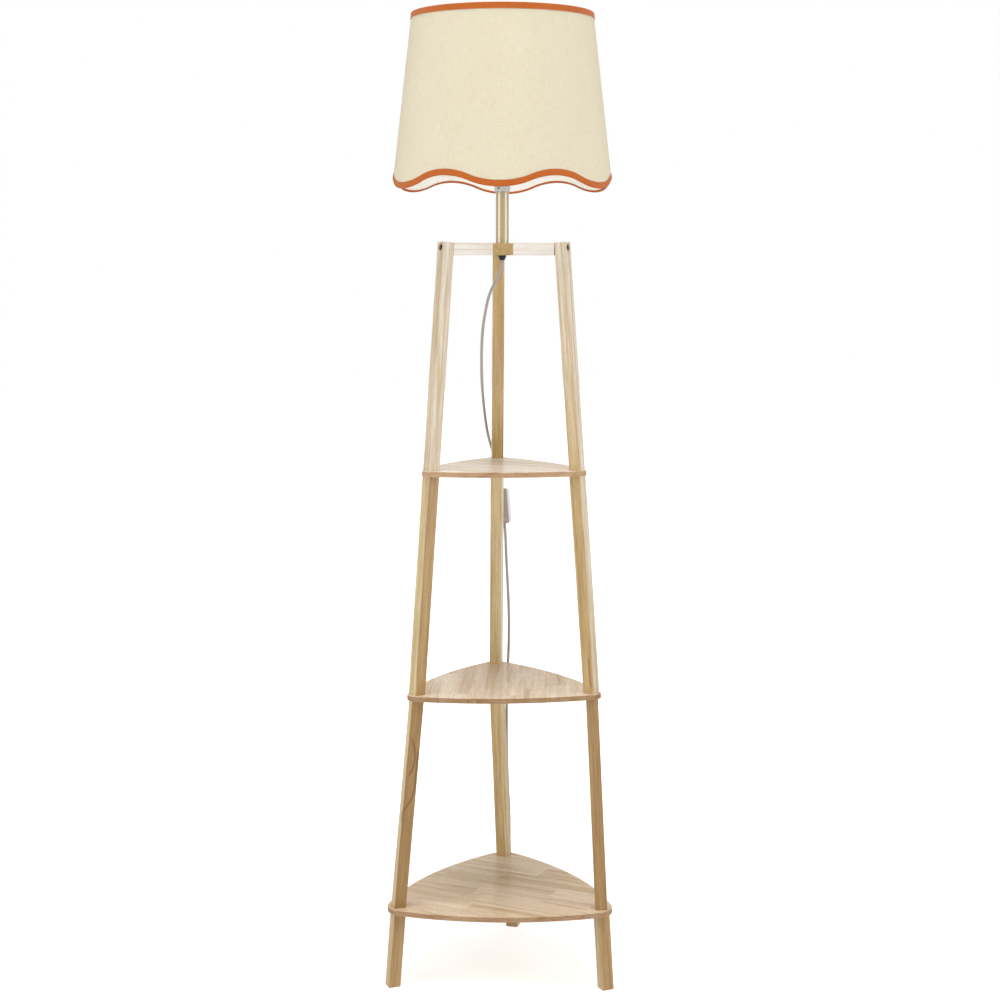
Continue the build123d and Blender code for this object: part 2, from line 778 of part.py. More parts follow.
def cord_coil():
    flat_start = Vector(1, 0, 0)
    flat_end = Vector(-1, 0, 0)
    quarters = int(coil_turns * 4)
    ways = [flat_start] + [coil_way(count / 4) for count in range(1, quarters)] + [flat_end]
    points = [coil_point(count / 4) for count in range(quarters + 1)]
    edges = [Line(points[0] - flat_start * cord_diameter, points[0])]
    for count in range(quarters):
        edges += biarc(points[count], ways[count], points[count + 1], ways[count + 1])
    edges.append(Line(points[-1], points[-1] + flat_end * cord_diameter))
    path = Wire([edge.edge() for edge in edges])
    tube = swept(path)
    samples = 36
    dots = [coil_point(count / samples) for count in range(int(coil_turns * samples) + 1)]
    apart = [(one - other).length for index, one in enumerate(dots) for other in dots[index + samples // 2:]]
    print("coil length", round(path.length, 1), "volume check", volume_share(tube, path))
    print("coil least gap to itself", round(min(apart) - cord_diameter, 2))
    return tube


def coil_tie():
    """A flat strap round the turns on the coil's left side."""
    near = coil_outer - coil_pitch * (coil_layer_turns - 0.25)
    far = coil_outer - coil_pitch * 0.75
    hole_low = tie_floor + tie_wall
    hole_high = coil_lift + cord_diameter + coil_pitch + tie_room
    hole_width = far - near + cord_diameter + 2 * tie_room
    height = hole_high - hole_low + 2 * tie_wall
    centre = (coil_centre[0] - (near + far) / 2, coil_centre[1], tie_floor + height / 2)
    plane = Plane(origin=centre, x_dir=(1, 0, 0), z_dir=(0, -1, 0))
    outer = RectangleRounded(hole_width + 2 * tie_wall, height, cord_diameter / 2)
    inner = RectangleRounded(hole_width, height - 2 * tie_wall, cord_diameter / 2 - tie_wall)
    return extrude(plane * (outer - inner), tie_width / 2, both=True)


# ---- switch: drawn with Z up the cord, X across, Y from base to rocker ----
def switch_place():
    top = Vector(upper_route[-1])
    bottom = Vector(lower_route[0])
    up = (top - bottom).normalized()
    across = Vector(0, 1, 0).cross(up).normalized()
    return Location(Plane(origin=(top + bottom) / 2, x_dir=across, z_dir=up))


def switch_outline(width, end_width, length, shoulder):
    """Outline of a half shell, in the XZ plane, narrowed towards its ends."""
    half, end_half = width / 2, end_width / 2
    corners = []
    for x_side, z_side in ((1, -1), (1, 1), (-1, 1), (-1, -1)):
        pair = [(x_side * end_half, z_side * length / 2), (x_side * half, z_side * shoulder)]
        corners += pair if x_side * z_side < 0 else pair[::-1]
    return make_face(Polyline(*corners, close=True))


def shell_block(outline, start, end):
    """The outline made solid between two depths along Y."""
    return Pos(0, end, 0) * extrude(Plane.XZ * outline, end - start)


def cord_notch():
    return Cylinder(cord_diameter / 2 + cord_hole_gap, 2 * switch_length)


def switch_posts(low, high, radius):
    for side in (-1, 1):
        plane = Plane(origin=(0, 0, side * switch_screw_place), z_dir=(0, 1, 0))
        yield along(plane, radius, low, high)


def switch_cover_part():
    half = switch_length / 2
    outer = switch_outline(switch_width, switch_end_width, switch_length, switch_shoulder)
    inner = switch_outline(switch_width - 2 * switch_wall, switch_end_width - 2 * switch_wall,
                           switch_length - 2 * switch_wall, switch_shoulder)
    slot = switch_outline(switch_base_width - 2 * switch_wall, switch_base_end_width - 2 * switch_wall,
                          switch_length - 2 * switch_wall, switch_shoulder)
    cover = shell_block(outer, 0, switch_cover)
    back = cover.faces().sort_by(Axis.Y)[-1]
    cover = fillet(back.edges(), switch_round)
    cover = fillet(cover.edges().filter_by(Axis.Y), switch_round)
    cover -= shell_block(inner, switch_wall, switch_cover - switch_wall)
    cover -= shell_block(slot, -switch_wall, 2 * switch_wall)
    for post in switch_posts(switch_wall, switch_cover - switch_wall / 2, post_radius):
        cover += post
    window = Box(rocker_width + 2 * rocker_gap, 2 * switch_cover, rocker_length + 2 * rocker_gap)
    cover -= Pos(0, switch_cover + switch_wall, 0) * window
    ear_deep = pin_depth + 2 * pin_radius - switch_wall / 2
    for side in (-1, 1):
        x = side * (rocker_width / 2 + rocker_gap + ear_thickness / 2)
        y = switch_cover - switch_wall / 2 - ear_deep / 2
        cover += Pos(x, y, 0) * Box(ear_thickness, ear_deep, 4 * pin_radius)
    cover -= pin_axis(pin_radius + pin_running_gap, pin_length)
    screw_hole = switch_screw_radius + switch_screw_gap
    for hole in switch_posts(-switch_wall, switch_cover - 2 * switch_wall, screw_hole):
        cover -= hole
    cover -= Pos(0, 0, half) * cord_notch()
    return cover - Pos(0, 0, -half - switch_length) * cord_notch()


def pin_axis(radius, length):
    plane = Plane(origin=(0, switch_cover - pin_depth, 0), z_dir=(1, 0, 0))
    return along(plane, radius, -length / 2, length / 2)


def switch_base_part():
    outer = switch_outline(switch_base_width, switch_base_end_width, switch_length, switch_shoulder)
    inner = switch_outline(switch_base_width - 2 * switch_wall, switch_base_end_width - 2 * switch_wall,
                           switch_length - 2 * switch_wall, switch_shoulder)
    base = shell_block(outer, -switch_base, 0)
    front = base.faces().sort_by(Axis.Y)[0]
    base = fillet(front.edges(), switch_round)
    base -= shell_block(inner, switch_wall - switch_base, switch_wall)
    for post in switch_posts(switch_wall / 2 - switch_base, 0, post_radius):
        base += post
    for hole in switch_posts(-2 * switch_base, switch_wall, switch_screw_radius + switch_screw_gap):
        base -= hole
    sink_radius = switch_screw_head + switch_screw_gap
    for sink in switch_posts(-2 * switch_base, switch_wall - switch_base, sink_radius):
        base -= sink
    base -= Pos(0, 0, switch_length) * cord_notch()
    return base - Pos(0, 0, -switch_length) * cord_notch()


def switch_screws():
    for side in (-1, 1):
        plane = Plane(origin=(0, 0, side * switch_screw_place), z_dir=(0, 1, 0))
        head = along(plane, switch_screw_head, -switch_base, switch_wall - switch_base)
        yield head + along(plane, switch_screw_radius, -switch_base, switch_cover / 2)


def contact_strip(x, side):
    """A bent spring: foot on the base, riser, and a finger under the rocker's lobe."""
    base_floor = switch_wall - switch_base
    lobe_floor = switch_cover - pin_depth - rocker_lobe
    finger_low = lobe_floor - strip_gap - strip
    foot_end = strip_riser + strip_foot
    foot = (x, base_floor + strip / 2, side * (strip_riser + foot_end) / 2)
    riser = (x, (base_floor + finger_low + strip) / 2, side * (strip_riser + strip / 2))
    finger = (x, finger_low + strip / 2, side * (rocker_lobe + strip_riser + strip) / 2)
    spring = Pos(foot) * Box(strip_width, strip, strip_foot)
    spring += Pos(riser) * Box(strip_width, finger_low + strip - base_floor, strip)
    return spring + Pos(finger) * Box(strip_width, strip, strip_riser + strip - rocker_lobe)


def switch_contacts():
    for side in (-1, 1):
        for x in (-strip_place, strip_place):
            yield contact_strip(x, side)


def rocker():
    """A shallow V seen from the side, turned to the end that is pressed in."""
    face = switch_cover + rocker_rise
    half = rocker_length / 2
    sink = half * tan(radians(rocker_tilt))
    pivot = switch_cover - pin_depth
    top = half - (face - pivot) * tan(radians(rocker_tilt))
    floor = pivot - rocker_lobe
    outline = Polyline((-top, face - sink), (0, face - sink / 3), (top, face - sink),
                       (half, pivot + pin_radius), (rocker_lobe, floor), (-rocker_lobe, floor),
                       (-half, pivot + pin_radius), close=True)
    side = Plane(origin=(0, 0, 0), x_dir=(0, 0, 1), z_dir=(-1, 0, 0))
    body = extrude(side * make_face(outline), rocker_width / 2, both=True)
    body -= pin_axis(pin_radius + pin_running_gap, 2 * rocker_width)
    return body.rotate(Axis((0, pivot, 0), (1, 0, 0)), -rocker_tilt)


# ---- plug: drawn with Z from the cord to the pins ----
def plug_place():
    end = Vector(tail_route[-1])
    way = Vector(-1, 0, 0)
    return Location(Plane(origin=end, x_dir=(0, 1, 0), z_dir=way))


def plug_body():
    neck = Pos(0, 0, plug_relief) * RectangleRounded(plug_neck_width, plug_neck_thickness, plug_round)
    face = Pos(0, 0, plug_relief + plug_length) * RectangleRounded(plug_width, plug_thickness, plug_round)
    body = loft([neck, face])
    relief = Cone(plug_tip_radius, plug_relief_radius, plug_relief)
    body += Pos(0, 0, plug_relief / 2) * relief
    for place in plug_pin_axes():
        body -= along(place, plug_root_radius + plug_pin_gap, -plug_pin_root, plug_pin_length)
    return body


def plug_pin_axes():
    for side in (-1, 1):
        yield Plane(origin=(side * plug_pin_spacing / 2, 0, plug_relief + plug_length))


def plug_pins():
    straight = plug_pin_length - plug_pin_radius
    for place in plug_pin_axes():
        pin = along(place, plug_pin_radius, 0, straight)
        pin += along(place, plug_root_radius, -plug_pin_root, 0)
        yield pin + place * Pos(0, 0, straight) * Sphere(plug_pin_radius)


# ---- the whole lamp ----
def build_frame():
    for leg in leg_azimuth:
        parts[leg + "_leg_upper"] = leg_upper(leg)
        parts[leg + "_leg_middle"] = leg_section(leg, "top", "middle", middle_twist[leg])
        parts[leg + "_leg_lower"] = leg_section(leg, "middle", "bottom", lower_twist[leg])
        parts[leg + "_leg_foot"] = leg_foot(leg)
        parts[leg + "_arm"] = arm(leg)
    joints = [(leg, name) for leg in leg_azimuth for name in shelf_top]
    parts["leg_bolts"] = group(leg_bolt(leg) for leg in leg_azimuth)
    parts["arm_inserts"] = group(arm_insert(leg) for leg in leg_azimuth)
    parts["shelf_studs"] = group(shelf_stud(*joint) for joint in joints)
    parts["leg_inserts"] = group(end_insert(*joint, side) for joint in joints for side in (-1, 1))
    parts["hub_block"] = hub_block()
    parts["hub_dowels"] = group(dowels())
    for name in shelf_top:
        parts[name + "_shelf"] = shelf(name)


def build_lampholder():
    parts["stem_tube"] = stem_tube()
    parts["threaded_tube"] = threaded_tube()
    parts["hub_washer"] = hub_washer()
    parts["hub_nut"] = hub_nut()
    parts["cord_grip"] = cord_grip()
    parts["supply_cable"] = group(supply_cable())
    parts["holder_cap"] = holder_cap()
    parts["holder_lock_screw"] = lock_screw_space(lock_screw_radius)
    parts["contact_block"] = contact_block()
    parts["holder_contacts"] = group([*terminal_screws(), centre_contact()])
    parts["holder_body"] = holder_body()
    parts["screw_shell"] = screw_shell()
    parts["shade_ring"] = shade_ring()
    parts["bulb_globe"] = bulb_globe()
    parts["bulb_cap"] = bulb_cap()
    parts["bulb_contact"] = bulb_contact()


def build_shade():
    under = below_hem(0)
    parts["shade_linen"] = shade_linen(under)
    parts["shade_liner"] = shade_liner(under)
    parts["top_trim"] = top_trim()
    parts["hem_trim"] = hem_trim(under)
    parts["top_wire"] = top_wire()
    parts["shade_carrier"] = shade_carrier()


def build_cord():
    cord = {}
    cord["cord_upper"] = cord_tube("cord_upper", upper_route)
    cord["cord_lower"] = cord_tube("cord_lower", lower_route)
    cord["cord_tail"] = cord_tube("cord_tail", tail_route)
    cord["cord_coil"] = cord_coil()
    cord["coil_tie"] = coil_tie()
    switch = {"switch_cover": switch_cover_part(), "switch_base": switch_base_part(),
              "switch_screws": group(switch_screws()), "switch_contacts": group(switch_contacts()),
              "switch_rocker": rocker(), "rocker_pin": pin_axis(pin_radius, pin_length)}
    for name, piece in switch.items():
        cord[name] = switch_place() * piece
    cord["plug_body"] = plug_place() * plug_body()
    cord["plug_pins"] = plug_place() * group(plug_pins())
    pivot = (switch_place() * Pos(0, switch_cover - pin_depth, 0)).position
    beside = (switch_place() * Pos(1, switch_cover - pin_depth, 0)).position
    return cord, pivot, beside - pivot


def main():
    build_frame()
    build_lampholder()
    build_shade()
    box = parts["bottom_shelf"].bounding_box()
    for shape in parts.values():
        box = box.add(shape.bounding_box())
    home = Pos(-box.center().X, -box.center().Y, 0)
    cord, pivot, axis = build_cord()
    parts.update(cord)
    os.makedirs("parts", exist_ok=True)
    for name, shape in parts.items():
        export_step(home * shape, "parts/" + name + ".step")
    print("stem axis at", home.position, "rocker pivot", home.position + pivot, "axis", axis)
    print(len(parts), "nodes")


main()
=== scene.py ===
import math
import bpy
import numpy as np
from mathutils import Matrix, Vector


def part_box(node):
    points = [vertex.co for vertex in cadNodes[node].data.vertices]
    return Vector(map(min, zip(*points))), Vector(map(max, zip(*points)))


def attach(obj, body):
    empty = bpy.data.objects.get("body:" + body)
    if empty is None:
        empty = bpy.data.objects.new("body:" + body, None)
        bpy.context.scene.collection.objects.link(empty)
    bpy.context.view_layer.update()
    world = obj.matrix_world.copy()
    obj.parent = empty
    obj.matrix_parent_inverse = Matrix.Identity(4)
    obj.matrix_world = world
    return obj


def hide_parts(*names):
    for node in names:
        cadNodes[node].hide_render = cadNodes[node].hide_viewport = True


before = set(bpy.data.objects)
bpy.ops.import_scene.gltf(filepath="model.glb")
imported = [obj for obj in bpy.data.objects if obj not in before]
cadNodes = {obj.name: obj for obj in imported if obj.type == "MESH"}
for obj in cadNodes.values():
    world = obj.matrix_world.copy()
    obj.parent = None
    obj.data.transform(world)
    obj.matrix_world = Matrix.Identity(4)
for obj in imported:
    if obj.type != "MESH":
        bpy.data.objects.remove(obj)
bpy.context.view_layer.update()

# the stem's axis, which everything turns round
stemLow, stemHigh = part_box("stem_tube")
stemX = (stemLow.x + stemHigh.x) / 2
stemY = (stemLow.y + stemHigh.y) / 2


def aroundStem(radius, angle, height):
    return Vector((stemX + radius * math.cos(angle), stemY + radius * math.sin(angle), height))


def applyModifiers(piece):
    bpy.ops.object.select_all(action="DESELECT")
    piece.select_set(True)
    bpy.context.view_layer.objects.active = piece
    for modifier in list(piece.modifiers):
        bpy.ops.object.modifier_apply(modifier=modifier.name)


# the camera, at the photograph's viewing angle: it looks down a little, so that its shift
# stays small and the whole lamp is in the frame from every side
cameraView = {
    "distance": 3.26,    # from the stem's axis
    "height": 1.2,
    "turn": 3.3,         # degrees to the left of the lamp's front
    "tilt": 5.67,        # degrees down
    "roll": 0.09,        # degrees
    "lens": 70.75,
    "shiftX": -0.0019,
    "shiftY": -0.045,
}
cameraTurn = math.radians(cameraView["turn"])


def fromCamera(angle, distance, height):
    # a place seen from the stem, so many degrees to the right of the camera
    way = cameraTurn - math.radians(angle)
    return Vector((stemX - distance * math.sin(way), stemY - distance * math.cos(way), height))


def makeCamera():
    place = fromCamera(0, cameraView["distance"], cameraView["height"])
    turn = Matrix.Rotation(-cameraTurn, 4, "Z")
    turn = turn @ Matrix.Rotation(math.radians(90 - cameraView["tilt"]), 4, "X")
    turn = turn @ Matrix.Rotation(math.radians(cameraView["roll"]), 4, "Z")
    bpy.ops.object.camera_add(location=place, rotation=turn.to_euler())
    camera = bpy.context.object
    camera.name = "photoCamera"
    camera.data.lens = cameraView["lens"]
    camera.data.shift_x = cameraView["shiftX"]
    camera.data.shift_y = cameraView["shiftY"]
    camera.data.dof.use_dof = False
    bpy.context.scene.camera = camera


makeCamera()
print("camera placed")

# the free cord, round and grey
mainsCord = {
    "diameter": 0.005,
    "length": 2.14,
    "coilCentre": (0.052, 0.261),
    "coilOuter": 0.033,
    "coilPitch": 0.0056,
    "layerTurns": 2,
    "coilDip": 0.0008,
    "coilLow": 0.0037,
    "pointsPerTurn": 24,
    # from the grip to the switch, from the switch to the coil, and from the coil to
    # the plug, about the stem's axis
    "upperRoute": [
        (0.0, 0.0, 1.1997), (-0.001, 0.002, 1.187), (-0.0072, 0.0095, 1.1695),
        (-0.0195, 0.0268, 1.146), (-0.0258, 0.053, 1.1115), (-0.0292, 0.0805, 1.077),
        (-0.0295, 0.1037, 1.036), (-0.0278, 0.1237, 0.989), (-0.023, 0.1435, 0.942),
        (-0.016, 0.1592, 0.8963), (-0.0045, 0.1675, 0.8601), (0.0084, 0.1684, 0.8221),
        (0.0101, 0.1697, 0.8003)],
    "lowerRoute": [
        (0.015, 0.1734, 0.7391), (0.0169, 0.1749, 0.7142), (0.0179, 0.1773, 0.6853),
        (0.021, 0.1801, 0.6316), (0.0236, 0.1819, 0.5781), (0.0239, 0.1839, 0.5297),
        (0.0223, 0.186, 0.4885), (0.0208, 0.189, 0.437), (0.0205, 0.1919, 0.379),
        (0.021, 0.1958, 0.321), (0.0228, 0.2, 0.265), (0.0262, 0.2058, 0.211),
        (0.0273, 0.2158, 0.163), (0.0263, 0.2209, 0.112), (0.0051, 0.2266, 0.063),
        (0.0032, 0.2287, 0.023), (0.022, 0.228, 0.0037), (0.047, 0.228, 0.0037)],
    "tailRoute": [
        (0.047, 0.294, 0.0093), (0.027, 0.294, 0.0093), (0.007, 0.2948, 0.0056),
        (-0.013, 0.2958, 0.0044), (-0.032, 0.296, 0.00685), (-0.05, 0.296, 0.00685)],
}


def coilPoint(turns):
    # in by the lower layer, up in half a turn, and out by the upper layer
    layerTurns, pitch = mainsCord["layerTurns"], mainsCord["coilPitch"]
    climb = min(max((turns - layerTurns) / 0.5, 0), 1)
    inward = min(turns, layerTurns)
    outward = max(turns - layerTurns - 0.5, 0)
    radius = mainsCord["coilOuter"] - pitch * (inward - outward)
    radius -= mainsCord["coilDip"] * math.sin(math.pi * climb)
    angle = math.radians(360 * turns - 90)
    height = mainsCord["coilLow"] + pitch * (1 - math.cos(math.pi * climb)) / 2
    centreX, centreY = mainsCord["coilCentre"]
    return (centreX + radius * math.cos(angle), centreY + radius * math.sin(angle), height)


def makeCord():
    perTurn = mainsCord["pointsPerTurn"]
    count = round((2 * mainsCord["layerTurns"] + 0.5) * perTurn)
    coil = [coilPoint(step / perTurn) for step in range(count + 1)]
    route = mainsCord["upperRoute"] + mainsCord["lowerRoute"] + coil + mainsCord["tailRoute"]
    curve = bpy.data.curves.new("mainsCord", "CURVE")
    curve.dimensions = "3D"
    spline = curve.splines.new("NURBS")
    spline.points.add(len(route) - 1)
    for point, (x, y, z) in zip(spline.points, route):
        point.co = (stemX + x, stemY + y, z, 1)
    spline.order_u = 3
    spline.use_endpoint_u = True
    spline.resolution_u = 8
    curve.bevel_depth = mainsCord["diameter"] / 2
    curve.bevel_resolution = 5
    curve.use_fill_caps = True
    cord = bpy.data.objects.new("mainsCord", curve)
    bpy.context.scene.collection.objects.link(cord)
    return cord


cord = makeCord()
print("cord laid")

# the shade: linen over a stiff lining, bound at both edges
shadeSize = {
    "topRadius": 0.1485,      # outer face of the linen
    "bottomRadius": 0.1815,
    "height": 0.2865,
    "scallops": 6,
    "rise": 0.0183,
    "turn": -4.7,             # degrees, a low point from the front
    "cloth": 0.0008,
    "gap": 0.0003,
    "binding": 0.0006,
    "bandOutside": 0.0102,
    "bandInside": 0.0035,
    "foldRound": 0.0012,
    "columns": 360,
    "clothRows": 48,
    "liningRows": 24,
    "bandRows": 4,
    "foldSteps": 6,
    "smooth": 40,             # degrees
    "seam": 139,              # degrees, where the ends of the cloth lap
    "seamWidth": 0.012,
    "seamStep": 0.0005,
    "seamSoft": 0.001,
}
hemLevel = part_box("hem_trim")[0].z
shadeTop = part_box("top_trim")[1].z


def wallRadius(height):
    slope = (shadeSize["bottomRadius"] - shadeSize["topRadius"]) / shadeSize["height"]
    return shadeSize["bottomRadius"] - (height - hemLevel) * slope


def hemRise(angle):
    # the wavy hem over its low points: two arcs, hollow and round, on each side of a crest
    step = 2 * math.pi / shadeSize["scallops"]
    start = math.radians(270 + shadeSize["turn"])
    fromCrest = (angle - start) % step - step / 2
    across = abs(shadeSize["bottomRadius"] * math.sin(fromCrest))
    half = shadeSize["bottomRadius"] * math.sin(step / 2)
    rise = shadeSize["rise"]
    arc = ((half / 2) ** 2 + (rise / 2) ** 2) / rise
    if across <= half / 2:
        return rise - arc + math.sqrt(arc ** 2 - across ** 2)
    return arc - math.sqrt(arc ** 2 - (half - across) ** 2)


def seamLap(angle, inset):
    # where the cloth laps, the outer layers stand out and the inner ones in, with a soft edge
    across = (angle - math.radians(shadeSize["seam"])) * shadeSize["bottomRadius"]
    edge = shadeSize["seamWidth"] / 2 - abs(across)
    step = shadeSize["seamStep"] * min(max(edge / shadeSize["seamSoft"] + 0.5, 0), 1)
    between = shadeSize["cloth"] + shadeSize["gap"] / 2
    outward = (between - inset) / (between - shadeSize["cloth"] / 2)
    return step * min(max(outward, -1), 1)


def makeShadeRing(name, section, placeHeight, thickness):
    # an upright tube of rings, whose rings are set to (inset, lift) points of a section
    rows = len(section) - 1
    bpy.ops.object.select_all(action="DESELECT")
    bpy.ops.mesh.primitive_cone_add(vertices=shadeSize["columns"], radius1=1, radius2=1, depth=rows,
                                    end_fill_type="NOTHING", location=(0, 0, rows / 2))
    ring = bpy.context.object
    ring.name = name
    bpy.ops.object.transform_apply(location=True, rotation=True, scale=True)
    mesh = ring.data
    bpy.ops.object.mode_set(mode="EDIT")
    bpy.ops.mesh.select_mode(type="EDGE")
    bpy.ops.mesh.select_all(action="DESELECT")
    bpy.ops.object.mode_set(mode="OBJECT")
    for edge in mesh.edges:
        low, high = (mesh.vertices[v].co.z for v in edge.vertices)
        edge.select = abs(high - low) > rows / 2
    bpy.ops.object.mode_set(mode="EDIT")
    bpy.ops.mesh.subdivide(number_cuts=rows - 1)
    bpy.ops.mesh.select_mode(type="VERT")
    bpy.ops.object.mode_set(mode="OBJECT")
    angles = []
    for vertex in mesh.vertices:
        angle = math.atan2(vertex.co.y, vertex.co.x) % (2 * math.pi)
        inset, lift = section[round(vertex.co.z)]
        height = placeHeight(angle, lift)
        vertex.co = aroundStem(wallRadius(height) - inset + seamLap(angle, inset), angle, height)
        angles.append(angle)
    wrapUv(mesh, angles)
    solid = ring.modifiers.new("thickness", "SOLIDIFY")
    solid.thickness = thickness
    solid.offset = 0
    applyModifiers(ring)
    bpy.ops.object.shade_smooth_by_angle(angle=math.radians(shadeSize["smooth"]))
    return ring


def wrapUv(mesh, angles):
    # UV in metres: round the shade and up its wall
    layer = mesh.uv_layers[0]
    for face in mesh.polygons:
        corners = [angles[v] for v in face.vertices]
        overSeam = max(corners) - min(corners) > math.pi
        for loop, vertex, angle in zip(face.loop_indices, face.vertices, corners):
            if overSeam and angle < math.pi:
                angle += 2 * math.pi
            layer.data[loop].uv = (angle * shadeSize["bottomRadius"], mesh.vertices[vertex].co.z)


def wallSection(inset, rows):
    return [(inset, row / rows) for row in range(rows + 1)]


def wallHeight(angle, share):
    inside = shadeSize["binding"] + shadeSize["gap"]
    low = hemLevel + hemRise(angle) + inside
    return low + share * (shadeTop - inside - low)


def hemHeight(angle, lift):
    return hemLevel + hemRise(angle) + lift


def topHeight(angle, lift):
    return shadeTop - lift


def bindingSection():
    # up outside from a round fold, and a short turn inside
    outer = -shadeSize["gap"] - shadeSize["binding"] / 2
    inner = 2 * shadeSize["cloth"] + 2 * shadeSize["gap"] + shadeSize["binding"] / 2
    middle, half = (outer + inner) / 2, (inner - outer) / 2
    low = shadeSize["binding"] / 2
    rows, steps = shadeSize["bandRows"], shadeSize["foldSteps"]
    section = [(outer, shadeSize["bandOutside"] * (row / rows)) for row in range(rows, 0, -1)]
    for step in range(steps + 1):
        turn = math.pi * step / steps
        lift = low + shadeSize["foldRound"] * (1 - math.sin(turn))
        section.append((middle - half * math.cos(turn), lift))
    section.append((inner, shadeSize["bandInside"]))
    return section


def makeShade():
    cloth, gap = shadeSize["cloth"], shadeSize["gap"]
    linenWall = wallSection(cloth / 2, shadeSize["clothRows"])
    linerWall = wallSection(cloth * 1.5 + gap, shadeSize["liningRows"])
    linen = makeShadeRing("shadeLinen", linenWall, wallHeight, cloth)
    liner = makeShadeRing("shadeLiner", linerWall, wallHeight, cloth)
    hem = makeShadeRing("hemBinding", bindingSection(), hemHeight, shadeSize["binding"])
    top = makeShadeRing("topBinding", bindingSection(), topHeight, shadeSize["binding"])
    return linen, liner, hem, top


shadeLinen, shadeLiner, hemBinding, topBinding = makeShade()
print("shade made")

# a flat two-pin plug moulded on the cord
plugSize = {
    "length": 0.036,
    "faceWidth": 0.0353,
    "faceThickness": 0.0137,
    "neckWidth": 0.013,
    "neckThickness": 0.009,
    "round": 0.0028,
    "sharp": 50,              # degrees: edges that are sharper are rounded
    "smooth": 35,             # degrees
    "shoulder": 0.62,         # share of the length over which it widens, and how softly
    "shoulderCurve": 1.5,
    "waist": 0.0012,          # hollow sides for the fingers
    "cuts": 11,
    "relief": 0.012,
    "reliefRadius": 0.0042,
    "tipRadius": 0.0032,
    "ribs": 4,
    "rowsPerRib": 4,
    "ribDepth": 0.0006,
    "ribRound": 0.0002,
}


def cutAcross(axis, cuts):
    # evenly spaced cuts through the active piece, which is one metre long from the origin
    bpy.ops.object.mode_set(mode="EDIT")
    for step in range(1, cuts + 1):
        bpy.ops.mesh.select_all(action="SELECT")
        bpy.ops.mesh.bisect(plane_co=axis * (step / (cuts + 1)), plane_no=axis)
    bpy.ops.object.mode_set(mode="OBJECT")


def plugHalf(share):
    # half width and half thickness, a share of the way from the neck to the face
    turn = min(share / plugSize["shoulder"], 1) * math.pi / 2
    spread = math.sin(turn) ** plugSize["shoulderCurve"]
    wide = plugSize["neckWidth"] + (plugSize["faceWidth"] - plugSize["neckWidth"]) * spread
    thick = plugSize["neckThickness"] + (plugSize["faceThickness"] - plugSize["neckThickness"]) * spread
    hollow = plugSize["waist"] * math.sin(math.pi * share) ** 2
    return wide / 2, thick / 2 - hollow


def makePlugBody():
    bpy.ops.object.select_all(action="DESELECT")
    bpy.ops.mesh.primitive_cube_add(size=1, location=(0.5, 0, 0))
    body = bpy.context.object
    bpy.ops.object.transform_apply(location=True, rotation=True, scale=True)
    cutAcross(Vector((1, 0, 0)), plugSize["cuts"])
    for vertex in body.data.vertices:
        wide, thick = plugHalf(vertex.co.x)
        vertex.co.y *= 2 * wide
        vertex.co.z *= 2 * thick
        vertex.co.x = plugSize["relief"] + plugSize["length"] * vertex.co.x
    bevel = body.modifiers.new("roundEdges", "BEVEL")
    bevel.width = plugSize["round"]
    bevel.segments = 5
    bevel.limit_method = "ANGLE"
    bevel.angle_limit = math.radians(plugSize["sharp"])
    applyModifiers(body)
    return body


def makePlugRelief():
    perRib = plugSize["rowsPerRib"]
    rows = plugSize["ribs"] * perRib
    length = plugSize["relief"] + plugSize["round"]
    bpy.ops.object.select_all(action="DESELECT")
    bpy.ops.mesh.primitive_cylinder_add(vertices=32, radius=1, depth=1, location=(0, 0, 0.5))
    relief = bpy.context.object
    bpy.ops.object.transform_apply(location=True, rotation=True, scale=True)
    cutAcross(Vector((0, 0, 1)), rows - 1)
    for vertex in relief.data.vertices:
        share = vertex.co.z
        groove = round(share * rows) % perRib >= perRib / 2
        radius = plugSize["tipRadius"] + (plugSize["reliefRadius"] - plugSize["tipRadius"]) * share
        radius -= plugSize["ribDepth"] * groove
        vertex.co = Vector((share * length, vertex.co.x * radius, vertex.co.y * radius))
    bevel = relief.modifiers.new("roundRibs", "BEVEL")
    bevel.width = plugSize["ribRound"]
    bevel.segments = 2
    applyModifiers(relief)
    return relief


def makePlug():
    # drawn along +X from the cord's end, then turned to lie along -X
    pieces = [makePlugBody(), makePlugRelief()]
    bpy.ops.object.select_all(action="DESELECT")
    for piece in pieces:
        piece.select_set(True)
    bpy.context.view_layer.objects.active = pieces[0]
    bpy.ops.object.join()
    plug = bpy.context.object
    plug.name = "plugBody"
    bpy.ops.object.mode_set(mode="EDIT")
    bpy.ops.mesh.select_all(action="SELECT")
    bpy.ops.mesh.normals_make_consistent(inside=False)
    bpy.ops.object.mode_set(mode="OBJECT")
    end = Vector(mainsCord["tailRoute"][-1]) + Vector((stemX, stemY, 0))
    plug.data.transform(Matrix.Translation(end) @ Matrix.Rotation(math.pi, 4, "Z"))
    bpy.ops.object.shade_smooth_by_angle(angle=math.radians(plugSize["smooth"]))
    return plug


plugBody = makePlug()
print("plug made")


def hexColor(code):
    # sRGB hex to linear
    parts = [int(code[i:i + 2], 16) / 255 for i in (0, 2, 4)]
    linear = [c / 12.92 if c <= 0.04045 else ((c + 0.055) / 1.055) ** 2.4 for c in parts]
    return (*linear, 1.0)


